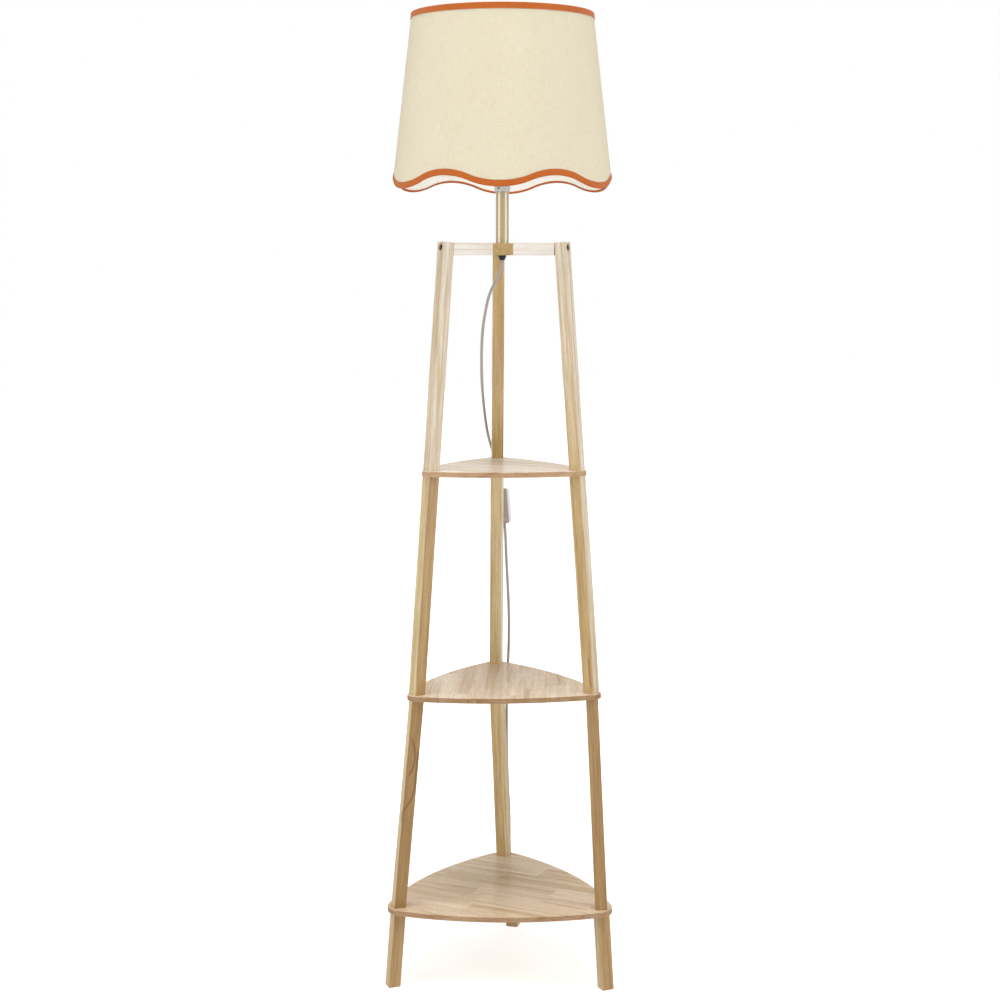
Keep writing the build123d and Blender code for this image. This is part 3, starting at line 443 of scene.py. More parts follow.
def addNode(tree, kind, settings=None, links=None):
    # a number or name that is a socket sets or links that socket
    node = tree.nodes.new("ShaderNode" + kind)
    for key, value in (settings or {}).items():
        if key == "stops":
            elements = node.color_ramp.elements
            while len(elements) < len(value):
                elements.new(0.5)
            for element, (place, code) in zip(elements, value):
                element.position = place
                element.color = hexColor(code)
        elif isinstance(key, int) or key in node.inputs:
            node.inputs[key].default_value = value
        else:
            setattr(node, key, value)
    for key, source in (links or {}).items():
        socket = source.outputs[0] if hasattr(source, "outputs") else source
        tree.links.new(socket, node.inputs[key])
    return node


def newMaterial(name):
    material = bpy.data.materials.new(name)
    material.use_nodes = True
    material.node_tree.nodes.clear()
    return material, material.node_tree


def setMaterial(piece, material):
    piece.data.materials.clear()
    piece.data.materials.append(material)


# rubberwood, planed and sprayed with a satin lacquer: straw to light tan, soft bands
# and fine streaks along the grain, few ring lines, short pores and a low shine
woodLook = {
    "band": 0.009,         # widths in metres, across the grain
    "streak": 0.0022,
    "streakShare": 0.55,
    "streakFrom": 0.36,    # noise at the palest streaks, and at the darkest
    "streakTo": 0.64,
    "ringWidth": 0.011,
    "waver": 5.0,
    "ringSharp": 7.0,
    "ringSeen": (0.4, 0.62),   # band noise where the ring lines begin, and are full
    "ringStrength": 0.3,
    "pore": 0.001,         # wider than life, so that they show
    "poreStretch": 0.25,
    "poreSeen": (0.58, 0.7),   # noise where the pores begin, and are full
    "poreStrength": 0.3,
    "stretch": 26.0,
    "relief": 0.0001,      # depth of the streaks
    "pale": "FFFFFF",      # what streaks, and lines and pores, do to the colour
    "tan": "D6C6A8",
    "line": "B08C5E",
    "roughness": 0.5,
    "specular": 0.4,
    "coat": 0.25,
    "coatRoughness": 0.25,
    "edge": 0.3,           # how dark the painted shade along the edges is
    "faceAxis": "Y",       # faces square to this axis have the first tint
    "faceFrom": 0.62,
    "faceTo": 0.78,
}
# tones for the sticks, palest first: the stock's own tones, used also for painted sheen and shade
woodTones = {
    "chalk": "F0ECE6",
    "cream": "E8DFD0",
    "oat": "DCD0BA",
    "straw": "D4C298",
    "honey": "C8AE7C",
    "tan": "B8996A",
    "amber": "A48452",
}
# tone of a stick's broad front and back faces, of its other faces, and of the broad faces at its lower end.
# The tones are partly the stock's own and partly painted light: painted sheen on the paler faces, and
# painted shade on the darker faces and on the lower sections. The third tone is painted shade that darkens
# the broad faces towards the lower end
stickToneAndShade = {
    "left_leg_upper": ("cream", "oat"),
    "right_leg_upper": ("cream", "cream", "honey"),
    "rear_leg_upper": ("honey", "oat"),
    "left_leg_middle": ("tan", "straw"),
    "right_leg_middle": ("honey", "oat"),
    "rear_leg_middle": ("straw", "cream"),
    "left_leg_lower": ("amber", "honey"),
    "right_leg_lower": ("amber", "straw"),
    "rear_leg_lower": ("honey", "straw"),
    "left_leg_foot": ("tan", "honey"),
    "right_leg_foot": ("tan", "straw"),
    "rear_leg_foot": ("tan", "honey"),
    "arm": ("chalk", "chalk"),
    "hub": ("honey", "honey"),
}
# brown growth lines on the broad face of a stick: height of the arch's top, how far it
# reaches towards the stem from the middle of the face, how it bends, and how far up and
# down it is seen
growthLines = {
    "left_leg_lower": [
        {"height": 0.387, "reach": 0.005, "bend": 8.2, "onlyBelow": False, "seen": 0.038},
        {"height": 0.339, "reach": 0.009, "bend": 9.0, "onlyBelow": True, "seen": 0.068}],
    "right_leg_middle": [
        {"height": 0.524, "reach": -0.003, "bend": 3.0, "onlyBelow": True, "seen": 0.032}],
}
# what such lines share; none bends further out than edge
growthLine = {"width": 0.0028, "strength": 0.85, "fade": 0.012, "edge": -0.0075}
# painted shade: dark lines along a stick's edges, and a painted shadow line at the outer end of an arm,
# where it meets its leg
edgeShade = {"width": 0.0014, "gap": 0.0014, "gapShadowColor": "5B4736", "gapShadowAt": ("right_arm",)}
# where in a log each stick was sawn: out from the pith, and along it, by the stick's seed
logPlace = {
    "out": 0.03, "outSpread": 0.013, "outTurn": 2.3, "sideSpread": 0.02, "sideTurn": 1.7, "along": 0.4,
}
waveRing = 0.314           # width of a wave texture's ring at scale 1


def grainOf(nodeName):
    # the middle of a stick, the turn that brings +Z along it, and its half sizes
    points = np.array([v.co for v in cadNodes[nodeName].data.vertices])
    centre = points.mean(axis=0)
    spread = np.linalg.eigh(np.cov((points - centre).T))[1][:, -1]
    way = Vector(spread if spread[2] >= -1e-6 else -spread)
    turn = way.to_track_quat("Z", "Y").to_matrix()
    local = (points - centre) @ np.array(turn)
    low, high = local.min(axis=0), local.max(axis=0)
    return Vector(centre) + turn @ Vector((low + high) / 2), turn.to_euler(), Vector((high - low) / 2)


def faceTint(tree, look, tints, ends):
    # the first tint on faces square to an axis of the lamp's, the second on the others, and the third, if
    # there is one, where those first faces come to the lower of two heights: a painted shade that darkens
    # them towards the lower end
    coords = addNode(tree, "TexCoord")
    normal = addNode(tree, "SeparateXYZ", {}, {0: coords.outputs["Normal"]})
    square = addNode(tree, "Math", {"operation": "ABSOLUTE"}, {0: normal.outputs[look["faceAxis"]]})
    share = addNode(tree, "MapRange", {"From Min": look["faceFrom"], "From Max": look["faceTo"]},
                    {"Value": square})
    both = addNode(tree, "Mix", {"data_type": "RGBA", 6: hexColor(tints[1]), 7: hexColor(tints[0])},
                   {0: share})
    # painted shade: the first faces darken towards the stick's lower end
    if len(tints) == 3:
        place = addNode(tree, "SeparateXYZ", {}, {0: coords.outputs["Object"]})
        up = addNode(tree, "MapRange", {"From Min": ends[0], "From Max": ends[1]},
                     {"Value": place.outputs["Z"]})
        front = addNode(tree, "Mix", {"data_type": "RGBA", 6: hexColor(tints[2]), 7: hexColor(tints[0])},
                        {0: up})
        tree.links.new(front.outputs[2], both.inputs[7])
    return both


def finishWood(tree, vector, look, tints, tone=None, marks=None, gap=None, ends=None):
    # bands, streaks, ring lines and pores on a vector whose Z runs along the grain
    band = addNode(tree, "TexNoise", {"Scale": 1 / look["band"], "Detail": 2.0, "Distortion": 0.4},
                   {"Vector": vector})
    streak = addNode(tree, "TexNoise", {"Scale": 1 / look["streak"], "Detail": 3.0, "Roughness": 0.6},
                     {"Vector": vector})
    figure = addNode(tree, "Mix", {0: look["streakShare"]}, {2: band, 3: streak})
    if tone is not None:
        figure = addNode(tree, "Math", {"operation": "ADD"}, {0: figure, 1: tone})
    shade = addNode(tree, "ValToRGB", {
        "stops": [(look["streakFrom"], look["pale"]), (look["streakTo"], look["tan"])]}, {"Fac": figure})
    rings = addNode(tree, "TexWave", {
        "wave_type": "RINGS", "rings_direction": "Z", "Scale": waveRing / look["ringWidth"],
        "Distortion": look["waver"], "Detail": 2.0, "Detail Scale": 1.0}, {"Vector": vector})
    late = addNode(tree, "Math", {"operation": "POWER", 1: look["ringSharp"]}, {0: rings.outputs["Fac"]})
    low, high = look["ringSeen"]
    seen = addNode(tree, "MapRange", {"From Min": low, "From Max": high, "To Max": look["ringStrength"]},
                   {"Value": band})
    lines = addNode(tree, "Math", {"operation": "MULTIPLY"}, {0: late, 1: seen})
    poreLength = look["poreStretch"] * look["stretch"]
    short = addNode(tree, "VectorMath", {"operation": "MULTIPLY", 1: (1, 1, poreLength)}, {0: vector})
    pores = addNode(tree, "TexNoise", {"Scale": 1 / look["pore"], "Detail": 1.0}, {"Vector": short})
    low, high = look["poreSeen"]
    dashes = addNode(tree, "MapRange", {"From Min": low, "From Max": high, "To Max": look["poreStrength"]},
                     {"Value": pores})
    dark = addNode(tree, "Math", {"operation": "MAXIMUM"}, {0: lines, 1: dashes})
    # marks carry painted shade along the edges as well as growth lines
    if marks is not None:
        dark = addNode(tree, "Math", {"operation": "MAXIMUM"}, {0: dark, 1: marks})
    lining = addNode(tree, "Mix", {"data_type": "RGBA", 6: hexColor("FFFFFF"), 7: hexColor(look["line"])},
                     {0: dark})
    tint = faceTint(tree, look, tints, ends)
    multiply = {"data_type": "RGBA", "blend_type": "MULTIPLY", 0: 1.0}
    color = addNode(tree, "Mix", multiply, {6: tint.outputs[2], 7: shade})
    color = addNode(tree, "Mix", multiply, {6: color.outputs[2], 7: lining.outputs[2]})
    # painted shadow line where an arm's outer end meets its leg
    if gap is not None:
        color = addNode(tree, "Mix", {"data_type": "RGBA", 7: hexColor(edgeShade["gapShadowColor"])},
                        {0: gap, 6: color.outputs[2]})
    bump = addNode(tree, "Bump", {"Strength": 0.15, "Distance": look["relief"]}, {"Height": streak})
    shader = addNode(tree, "BsdfPrincipled", {
        "Roughness": look["roughness"], "Specular IOR Level": look["specular"], "Coat Weight": look["coat"],
        "Coat Roughness": look["coatRoughness"]}, {"Base Color": color.outputs[2], "Normal": bump})
    addNode(tree, "OutputMaterial", {}, {"Surface": shader})


def distanceIn(tree, place, axis, half):
    # how far a place lies inside the two ends of an axis
    out = addNode(tree, "Math", {"operation": "ABSOLUTE"}, {0: place.outputs[axis]})
    return addNode(tree, "Math", {"operation": "SUBTRACT", 0: half}, {1: out})


# painted shade along a stick's long edges
def edgeShadeMask(tree, place, half, strength):
    sides = [distanceIn(tree, place, axis, size) for axis, size in (("X", half.x), ("Y", half.y))]
    inside = addNode(tree, "Math", {"operation": "MAXIMUM"}, {0: sides[0], 1: sides[1]})
    return addNode(tree, "MapRange", {"From Min": edgeShade["width"], "From Max": 0.0, "To Max": strength},
                   {"Value": inside})


def archMask(tree, place, line, middleHeight):
    # a growth line: Y is the distance out from the middle of the stick, Z the one along it
    along = addNode(tree, "Math", {"operation": "SUBTRACT", 1: line["height"] - middleHeight},
                    {0: place.outputs["Z"]})
    off = addNode(tree, "Math", {"operation": "ABSOLUTE"}, {0: along})
    full = line["seen"] - growthLine["fade"]
    seen = addNode(tree, "MapRange", {
        "From Min": line["seen"], "From Max": full, "To Max": growthLine["strength"]}, {"Value": off})
    if line["onlyBelow"]:
        along = addNode(tree, "Math", {"operation": "MINIMUM", 1: 0.0}, {0: along})
    bow = addNode(tree, "Math", {"operation": "POWER", 1: 2.0}, {0: along})
    inward = addNode(tree, "Math", {"operation": "MULTIPLY_ADD", 1: -line["bend"], 2: line["reach"]},
                     {0: bow})
    inward = addNode(tree, "Math", {"operation": "MAXIMUM", 1: growthLine["edge"]}, {0: inward})
    apart = addNode(tree, "Math", {"operation": "ADD"}, {0: inward, 1: place.outputs["Y"]})
    apart = addNode(tree, "Math", {"operation": "ABSOLUTE"}, {0: apart})
    near = addNode(tree, "MapRange", {"From Min": growthLine["width"], "From Max": 0.0}, {"Value": apart})
    return addNode(tree, "Math", {"operation": "MULTIPLY"}, {0: near, 1: seen})


def sawnAt(seed):
    out = logPlace["out"] + logPlace["outSpread"] * math.sin(seed * logPlace["outTurn"])
    side = logPlace["sideSpread"] * math.cos(seed * logPlace["sideTurn"])
    return Vector((out, side, logPlace["along"] * seed))


def outerGapShadow(tree, coords, place, middle, half):
    # the last stretch of a stick at its end away from the lamp's middle, towards +X, where a painted shadow
    # line is drawn
    end = addNode(tree, "Math", {"operation": "LESS_THAN", 1: edgeShade["gap"]},
                  {0: distanceIn(tree, place, "Z", half.z)})
    lampPlace = addNode(tree, "SeparateXYZ", {}, {0: coords.outputs["Object"]})
    outer = addNode(tree, "Math", {"operation": "GREATER_THAN", 1: middle.x},
                    {0: lampPlace.outputs["X"]})
    return addNode(tree, "Math", {"operation": "MULTIPLY"}, {0: end, 1: outer})


def stickMaterial(nodeName, look, tones, seed):
    material, tree = newMaterial("lacquered rubberwood " + nodeName)
    middle, turn, half = grainOf(nodeName)
    tints = [woodTones[tone] for tone in tones]
    ends = [corner.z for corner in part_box(nodeName)]
    offPith = sawnAt(seed)
    coords = addNode(tree, "TexCoord")
    vector = addNode(tree, "Mapping", {
        "vector_type": "TEXTURE", "Location": middle + turn.to_matrix() @ offPith, "Rotation": turn,
        "Scale": (1, 1, look["stretch"])}, {"Vector": coords.outputs["Object"]})
    local = addNode(tree, "Mapping", {"vector_type": "TEXTURE", "Location": middle, "Rotation": turn},
                    {"Vector": coords.outputs["Object"]})
    place = addNode(tree, "SeparateXYZ", {}, {0: local})
    # painted shade along the edges, joined by the growth lines below
    marks = edgeShadeMask(tree, place, half, look["edge"])
    for line in growthLines.get(nodeName, []):
        arch = archMask(tree, place, line, middle.z)
        marks = addNode(tree, "Math", {"operation": "MAXIMUM"}, {0: marks, 1: arch})
    gap = None
    # a painted shadow line at the arm's outer end
    if nodeName in edgeShade["gapShadowAt"]:
        gap = outerGapShadow(tree, coords, place, middle, half)
    finishWood(tree, vector, look, tints, marks=marks, gap=gap, ends=ends)
    return material


# boards of the same wood, glued up from strips and cut to shape, nearly matt: the strips
# differ a little in tone, their pores show as short brown dashes, and the rims are darker
shelfLook = {
    **woodLook, "band": 0.02, "stretch": 12.0, "streakShare": 0.42, "streakFrom": 0.32, "streakTo": 0.7,
    "poreStrength": 0.5, "poreStretch": 0.2, "tan": "D6C2A6", "line": "A98256", "roughness": 0.65,
    "specular": 0.2, "coat": 0.12, "coatRoughness": 0.15, "faceAxis": "Z", "faceFrom": 0.3, "faceTo": 0.7,
    "shift": (0.3, 0.3, 2.0),  # how far a strip's figure may lie from the next one's
}
# the way each board's strips run, their width, the length of their blocks and how far the
# blocks differ in tone, then the colours of the top and underside, and of the rim
shelfBoards = {
    "top_shelf": {"turn": -30, "strip": 0.045, "block": 0.6, "spread": 0.1,
                  "tints": ("EADFD0", "C6A787")},
    "middle_shelf": {"turn": 85, "strip": 0.038, "block": 0.6, "spread": 0.12,
                     "tints": ("E4D3BC", "AC8F6E")},
    "bottom_shelf": {"turn": -30, "strip": 0.045, "block": 0.21, "spread": 0.16,
                     "tints": ("DFCDB2", "B99D7F")},
}


def shelfMaterial(nodeName, board):
    material, tree = newMaterial("lacquered glued rubberwood " + nodeName)
    coords = addNode(tree, "TexCoord")
    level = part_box(nodeName)[1].z
    along = addNode(tree, "Mapping", {
        "vector_type": "TEXTURE", "Location": (stemX, stemY, level),
        "Rotation": (0, math.pi / 2, math.radians(board["turn"]))}, {"Vector": coords.outputs["Object"]})
    apart = addNode(tree, "SeparateXYZ", {}, {0: along})
    across = addNode(tree, "Math", {"operation": "DIVIDE", 1: board["strip"]}, {0: apart.outputs["Y"]})
    strip = addNode(tree, "Math", {"operation": "FLOOR"}, {0: across})
    start = addNode(tree, "TexWhiteNoise", {"noise_dimensions": "1D"}, {"W": strip})
    run = addNode(tree, "Math", {"operation": "DIVIDE", 1: board["block"]}, {0: apart.outputs["Z"]})
    shifted = addNode(tree, "Math", {"operation": "ADD"}, {0: run, 1: start})
    block = addNode(tree, "Math", {"operation": "FLOOR"}, {0: shifted})
    cell = addNode(tree, "CombineXYZ", {}, {0: strip, 1: block})
    chance = addNode(tree, "TexWhiteNoise", {"noise_dimensions": "2D"}, {"Vector": cell})
    tone = addNode(tree, "MapRange", {"To Min": -board["spread"] / 2, "To Max": board["spread"] / 2},
                   {"Value": chance})
    squeezed = addNode(tree, "VectorMath", {"operation": "MULTIPLY", 1: (1, 1, 1 / shelfLook["stretch"])},
                       {0: along})
    moved = addNode(tree, "VectorMath", {"operation": "MULTIPLY_ADD", 1: shelfLook["shift"]},
                    {0: chance.outputs["Color"], 2: squeezed})
    finishWood(tree, moved, shelfLook, board["tints"], tone)
    return material


def dressWood():
    # the arms are nearly white, with faint pink streaks; the hub shows end grain: darker,
    # speckled, and flat in the lacquer
    armLook = {**woodLook, "tan": "EADFD6", "line": "D0B39E", "ringStrength": 0.2, "poreStrength": 0.15,
               "edge": 0.8}
    hubLook = {**woodLook, "band": 0.0033, "streak": 0.0011, "stretch": 2.0, "ringStrength": 0.0,
               "poreStretch": 1.0, "coat": 0.0, "edge": 0.0}
    seed = 0
    for leg in ("left", "right", "rear"):
        for section in ("leg_upper", "leg_middle", "leg_lower", "leg_foot"):
            seed += 1
            name = leg + "_" + section
            setMaterial(cadNodes[name], stickMaterial(name, woodLook, stickToneAndShade[name], seed))
        seed += 1
        name = leg + "_arm"
        setMaterial(cadNodes[name], stickMaterial(name, armLook, stickToneAndShade["arm"], seed))
    setMaterial(cadNodes["hub_block"], stickMaterial("hub_block", hubLook, stickToneAndShade["hub"], seed=40))
    setMaterial(cadNodes["hub_dowels"], stickMaterial("hub_dowels", woodLook, stickToneAndShade["arm"], seed=50))
    for name, board in shelfBoards.items():
        setMaterial(cadNodes[name], shelfMaterial(name, board))


dressWood()
print("wood dressed")


# linen and cotton cloth on a stiff lining: matt cream with fine slubs both ways
linenCloth = {
    "pale": "E8E0C8", "middle": "DED4BA", "dark": "D0C4A4", "thread": 0.0009, "bias": 0,
    "slub": 0.9, "relief": 0.25, "broad": 0.2, "roughness": 0.9, "sheen": 0.1,
}
# cotton bias tape, folded and glued over the edges: burnt orange, slightly soft, with
# threads wider than life, so that they show close up
bindingCloth = {
    "pale": "C86C28", "middle": "B85E20", "dark": "9E4C18", "thread": 0.0006, "bias": 45,
    "slub": 0.8, "relief": 0.3, "broad": 0.5, "roughness": 0.75, "sheen": 0.15,
}
# noise per metre: a slub is some 17 mm long and 0.7 mm thick, and the broad tone changes in
# some 70 mm; threads stand proud by a share of their spacing
weave = {"slubAlong": 60.0, "slubAcross": 1400.0, "broad": 14.0, "proud": 0.25, "specular": 0.2}


def clothMaterial(name, look):
    # plain weave on UV in metres, with slubs along both threads
    material, tree = newMaterial(name)
    coords = addNode(tree, "TexCoord")
    turned = addNode(tree, "Mapping", {"Rotation": (0, 0, math.radians(look["bias"]))},
                     {"Vector": coords.outputs["UV"]})
    threads = addNode(tree, "VectorMath", {"operation": "SCALE", "Scale": 1 / look["thread"]}, {0: turned})
    counts = addNode(tree, "VectorMath", {"operation": "FLOOR"}, {0: threads})
    places = addNode(tree, "VectorMath", {"operation": "FRACTION"}, {0: threads})
    count = addNode(tree, "SeparateXYZ", {}, {0: counts})
    place = addNode(tree, "SeparateXYZ", {}, {0: places})
    both = addNode(tree, "Math", {"operation": "ADD"}, {0: count.outputs["X"], 1: count.outputs["Y"]})
    over = addNode(tree, "Math", {"operation": "FLOORED_MODULO", 1: 2.0}, {0: both})
    hills = []
    for axis in ("X", "Y"):
        turn = addNode(tree, "Math", {"operation": "MULTIPLY", 1: math.pi}, {0: place.outputs[axis]})
        hills.append(addNode(tree, "Math", {"operation": "SINE"}, {0: turn}))
    height = addNode(tree, "Mix", {}, {0: over, 2: hills[1], 3: hills[0]})
    slubs = []
    along, across = weave["slubAlong"], weave["slubAcross"]
    for scale in ((along, across, 1.0), (across, along, 1.0)):
        long = addNode(tree, "VectorMath", {"operation": "MULTIPLY", 1: scale}, {0: turned})
        slubs.append(addNode(tree, "TexNoise", {"Scale": 1.0, "Detail": 2.0}, {"Vector": long}))
    broad = addNode(tree, "TexNoise", {"Scale": weave["broad"], "Detail": 3.0}, {"Vector": turned})
    factor = None
    for source, share in ((slubs[0], look["slub"]), (slubs[1], look["slub"]), (height, look["relief"]),
                          (broad, look["broad"])):
        middled = addNode(tree, "Math", {"operation": "SUBTRACT", 1: 0.5}, {0: source})
        if factor is None:
            factor = addNode(tree, "Math", {"operation": "MULTIPLY_ADD", 1: share, 2: 0.5}, {0: middled})
        else:
            factor = addNode(tree, "Math", {"operation": "MULTIPLY_ADD", 1: share}, {0: middled, 2: factor})
    color = addNode(tree, "ValToRGB", {
        "stops": [(0.0, look["dark"]), (0.5, look["middle"]), (1.0, look["pale"])]}, {"Fac": factor})
    bump = addNode(tree, "Bump", {"Strength": 0.5, "Distance": look["thread"] * weave["proud"]},
                   {"Height": height})
    shader = addNode(tree, "BsdfPrincipled", {
        "Roughness": look["roughness"], "Sheen Weight": look["sheen"],
        "Specular IOR Level": weave["specular"]}, {"Base Color": color, "Normal": bump})
    addNode(tree, "OutputMaterial", {}, {"Surface": shader})
    return material


# metal, plastic and glass: grain is the noise per metre that mottles a finish, so that 900
# is a speck in 1.1 mm, coarser than life so that it shows, and bump is how strongly it
# marks the surface
finishRelief = 0.0001
mottle = (0.35, 0.65)      # noise at the darkest colour, and at the palest
clearCoat = {"roughness": 0.03, "ior": 2.1}
finishes = {
    # khaki gold enamel under thick clear lacquer: even colour, with narrow white reflections
    "lacquered gold enamel": {
        "pale": "AE9962", "dark": "A8935D", "grain": 300, "bump": 0.0, "metal": 0.0, "roughness": 0.5,
        "specular": 0.0, "coat": 1.0, "nodes": ["stem_tube"]},
    # zinc-plated steel: dull grey-blue
    "zinc plated steel": {
        "pale": "A4A6A9", "dark": "909396", "grain": 900, "bump": 0.1, "metal": 1.0, "roughness": 0.5,
        "nodes": ["arm_inserts", "shelf_studs", "leg_inserts", "threaded_tube", "hub_washer", "hub_nut",
                  "switch_screws", "rocker_pin"]},
    # oxide-blackened steel: nearly black with a brown cast
    "blackened steel": {
        "pale": "3A2C22", "dark": "2A1F18", "grain": 900, "bump": 0.1, "metal": 0.6, "roughness": 0.5,
        "nodes": ["leg_bolts", "holder_lock_screw"]},
    # nylon, moulded black, with a soft shine
    "black nylon": {
        "pale": "121315", "dark": "0B0C0E", "grain": 1500, "bump": 0.1, "metal": 0.0, "roughness": 0.4,
        "specular": 0.25, "nodes": ["cord_grip"]},
    # moulded thermoplastic: light cool grey with a satin shine
    "grey thermoplastic": {
        "pale": "C9C8CA", "dark": "C1C0C2", "grain": 1200, "bump": 0.08, "metal": 0.0, "roughness": 0.38,
        "nodes": ["holder_cap", "contact_block", "holder_body", "shade_ring"]},
    # bare brass strip, slightly dulled
    "bare brass": {
        "pale": "D6B25E", "dark": "C9A24C", "grain": 900, "bump": 0.1, "metal": 1.0, "roughness": 0.3,
        "nodes": ["holder_contacts", "screw_shell", "bulb_contact", "switch_contacts"]},
    # opal glass: white all through, with a clear gloss
    "opal glass": {
        "pale": "F6F4EE", "dark": "F2F0EA", "grain": 200, "bump": 0.0, "metal": 0.0, "roughness": 0.12,
        "nodes": ["bulb_globe"]},
    # aluminium with a rolled thread: pale and bright
    "rolled aluminium": {
        "pale": "C9CACB", "dark": "BDBEC0", "grain": 900, "bump": 0.1, "metal": 1.0, "roughness": 0.3,
        "nodes": ["bulb_cap"]},
    # white styrene sheet behind the linen, with a painted glow that stands in for the light the cloth lets
    # through
    "styrene lining": {
        "pale": "F3F0E9", "dark": "EDEAE2", "grain": 60, "bump": 0.05, "metal": 0.0, "roughness": 0.55,
        "glow": 0.12, "nodes": []},
    # steel wire with a dipped white coat
    "white coated wire": {
        "pale": "EDECE8", "dark": "E2E1DC", "grain": 700, "bump": 0.1, "metal": 0.0, "roughness": 0.35,
        "nodes": ["top_wire", "shade_carrier"]},
    # extruded soft PVC: warm mid grey with a dull shine
    "grey PVC": {
        "pale": "ABA8A4", "dark": "A29F9B", "grain": 500, "bump": 0.05, "metal": 0.0, "roughness": 0.4,
        "nodes": ["supply_cable"]},
    # woven nylon with a looped pile: charcoal and quite matt
    "black hook and loop tape": {
        "pale": "303133", "dark": "26272A", "grain": 2500, "bump": 0.6, "metal": 0.0, "roughness": 0.85,
        "nodes": ["coil_tie"]},
    # moulded ABS: cool white, smooth, with a clear shine
    "white ABS": {
        "pale": "F6FAFE", "dark": "F0F4F9", "grain": 1200, "bump": 0.05, "metal": 0.0, "roughness": 0.3,
        "nodes": ["switch_cover"]},
    # moulded ABS: brownish grey, finely sparked, with a satin shine
    "warm grey ABS": {
        "pale": "AC9D90", "dark": "A39487", "grain": 1200, "bump": 0.05, "metal": 0.0, "roughness": 0.4,
        "nodes": ["switch_base", "switch_rocker"]},
    # nickel plate on brass: bright, faintly warm
    "nickel plate": {
        "pale": "D2CEC4", "dark": "C6C2B8", "grain": 900, "bump": 0.05, "metal": 1.0, "roughness": 0.18,
        "nodes": ["plug_pins"]},
}


def finishMaterial(name, look):
    # one moulded, plated or glazed finish, slightly uneven in colour and surface
    material, tree = newMaterial(name)
    coords = addNode(tree, "TexCoord")
    noise = addNode(tree, "TexNoise", {"Scale": look["grain"], "Detail": 3.0},
                    {"Vector": coords.outputs["Object"]})
    stops = [(mottle[0], look["dark"]), (mottle[1], look["pale"])]
    color = addNode(tree, "ValToRGB", {"stops": stops}, {"Fac": noise})
    links = {"Base Color": color}
    if look["bump"]:
        links["Normal"] = addNode(tree, "Bump", {"Strength": look["bump"], "Distance": finishRelief},
                                  {"Height": noise})
    shader = addNode(tree, "BsdfPrincipled", {
        "Metallic": look["metal"], "Roughness": look["roughness"],
        "Specular IOR Level": look.get("specular", 0.5), "Coat Weight": look.get("coat", 0.0),
        "Coat Roughness": clearCoat["roughness"], "Coat IOR": clearCoat["ior"]}, links)
    # painted light: a glow on a finish that is no lamp
    if "glow" in look:
        shader.inputs["Emission Color"].default_value = hexColor(look["pale"])
        shader.inputs["Emission Strength"].default_value = look["glow"]
    addNode(tree, "OutputMaterial", {}, {"Surface": shader})
    return material


def dressFinishes():
    made = {}
    for name, look in finishes.items():
        made[name] = finishMaterial(name, look)
        for nodeName in look["nodes"]:
            setMaterial(cadNodes[nodeName], made[name])
    setMaterial(shadeLinen, clothMaterial("woven linen", linenCloth))
    setMaterial(shadeLiner, made["styrene lining"])
    binding = clothMaterial("cotton bias tape", bindingCloth)
    setMaterial(hemBinding, binding)
    setMaterial(topBinding, binding)
    cord.data.materials.append(made["grey PVC"])
    setMaterial(plugBody, made["grey PVC"])


dressFinishes()
print("finishes set")

# softboxes stand so many degrees to the right of the camera and face a height on the
# stem's axis, their glow is in times white, and the world lights as little as it needs
studio = {
    "boxes": {
        "softboxLeft": {"angle": -56, "distance": 2.3, "height": 1.45, "facing": 1.45,
                        "size": (1.55, 1.7), "glow": 3.2},
        "softboxRight": {"angle": 65, "distance": 2.3, "height": 1.45, "facing": 1.45,
                         "size": (1.55, 1.7), "glow": 3.2},
        "softboxBack": {"angle": 180, "distance": 2.8, "height": 1.6, "facing": 1.6,
                        "size": (2.2, 1.6), "glow": 1.2},
        "softboxTop": {"angle": 0, "distance": 1.0, "height": 4.3, "facing": 0.5,
                       "size": (2.4, 2.4), "glow": 4.8},
        "softboxLow": {"angle": 0, "distance": 2.2, "height": 0.35, "facing": 1.31,
                       "size": (1.0, 0.6), "glow": 3.0},
    },
    "world": 0.3,
    "floorSize": 30,
    "floorDrop": 0.0003,       # so that no foot's face lies in the floor's
    "floorColor": "E7E6E4",
    "floorLift": 0.58,         # white added under the lamp, and the reach over which it
    "floorReach": (0.5, 1.3),  # grows to full white
}


def addSoftbox(name, box):
    place = fromCamera(box["angle"], box["distance"], box["height"])
    facing = Vector((stemX, stemY, box["facing"])) - place
    turn = facing.to_track_quat("-Z", "Y").to_euler()
    bpy.ops.object.light_add(type="AREA", location=place, rotation=turn)
    light = bpy.context.object
    light.name = name
    light.data.shape = "RECTANGLE"
    light.data.size, light.data.size_y = box["size"]
    light.data.energy = box["glow"] * math.pi * light.data.size * light.data.size_y
    light.visible_camera = False


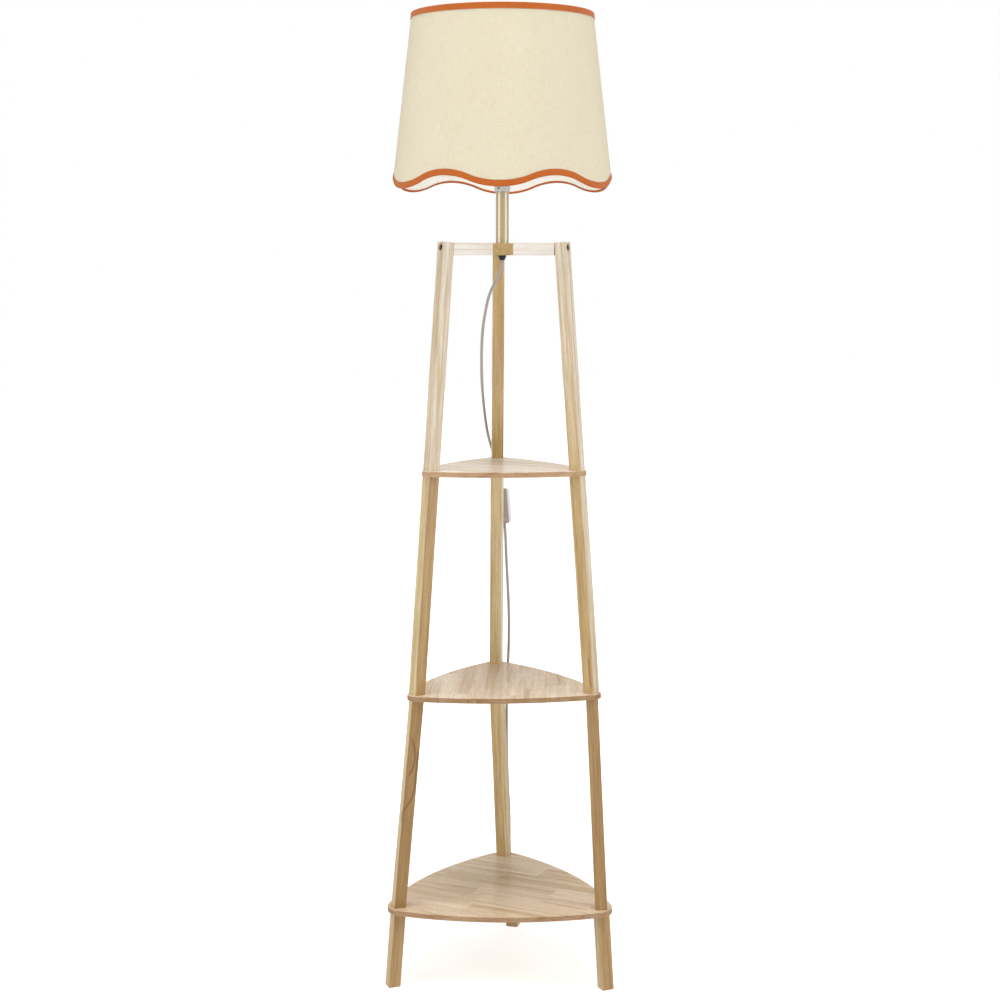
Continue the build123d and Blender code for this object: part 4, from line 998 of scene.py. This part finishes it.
def directRays(tree):
    # 1 for what the camera sees directly, in a gloss or through glass, and 0 for lighting
    ray = addNode(tree, "LightPath")
    seen = addNode(tree, "Math", {"operation": "MAXIMUM"},
                   {0: ray.outputs["Is Camera Ray"], 1: ray.outputs["Is Glossy Ray"]})
    return addNode(tree, "Math", {"operation": "MAXIMUM"},
                   {0: seen, 1: ray.outputs["Is Transmission Ray"]})


def makeFloor():
    bpy.ops.object.select_all(action="DESELECT")
    bpy.ops.mesh.primitive_plane_add(size=studio["floorSize"], location=(0, 0, -studio["floorDrop"]))
    floor = bpy.context.object
    floor.name = "paleFloor"
    bpy.ops.object.transform_apply(location=True, rotation=True, scale=True)
    material, tree = newMaterial("pale floor")
    coords = addNode(tree, "TexCoord")
    away = addNode(tree, "VectorMath", {"operation": "LENGTH"}, {0: coords.outputs["Object"]})
    near, far = studio["floorReach"]
    lift = addNode(tree, "MapRange", {
        "interpolation_type": "SMOOTHSTEP", "From Min": near, "From Max": far,
        "To Min": studio["floorLift"], "To Max": 1.0}, {"Value": away.outputs["Value"]})
    strength = addNode(tree, "Math", {"operation": "MULTIPLY"}, {0: lift, 1: directRays(tree)})
    glow = addNode(tree, "Emission", {}, {"Strength": strength})
    matt = addNode(tree, "BsdfDiffuse", {"Color": hexColor(studio["floorColor"])})
    both = addNode(tree, "AddShader", {}, {0: matt, 1: glow})
    addNode(tree, "OutputMaterial", {}, {"Surface": both})
    setMaterial(floor, material)


def makeWorld():
    world = bpy.data.worlds.new("studio")
    bpy.context.scene.world = world
    world.use_nodes = True
    tree = world.node_tree
    tree.nodes.clear()
    strength = addNode(tree, "MapRange", {"To Min": studio["world"], "To Max": 1.0},
                       {"Value": directRays(tree)})
    back = addNode(tree, "Background", {"Color": (1, 1, 1, 1)}, {"Strength": strength})
    addNode(tree, "OutputWorld", {}, {"Surface": back})
    bpy.context.scene.view_settings.view_transform = "Standard"


makeFloor()
for boxName, box in studio["boxes"].items():
    addSoftbox(boxName, box)
makeWorld()
print("studio lit")

# what rides on what, and the part's pieces that the new ones stand for, hidden
for piece in (shadeLinen, shadeLiner, hemBinding, topBinding, cord, plugBody):
    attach(piece, "lamp")
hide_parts("shade_linen")
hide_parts("shade_liner")
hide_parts("hem_trim")
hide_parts("top_trim")
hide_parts("cord_upper", "cord_lower", "cord_coil", "cord_tail")
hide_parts("plug_body")
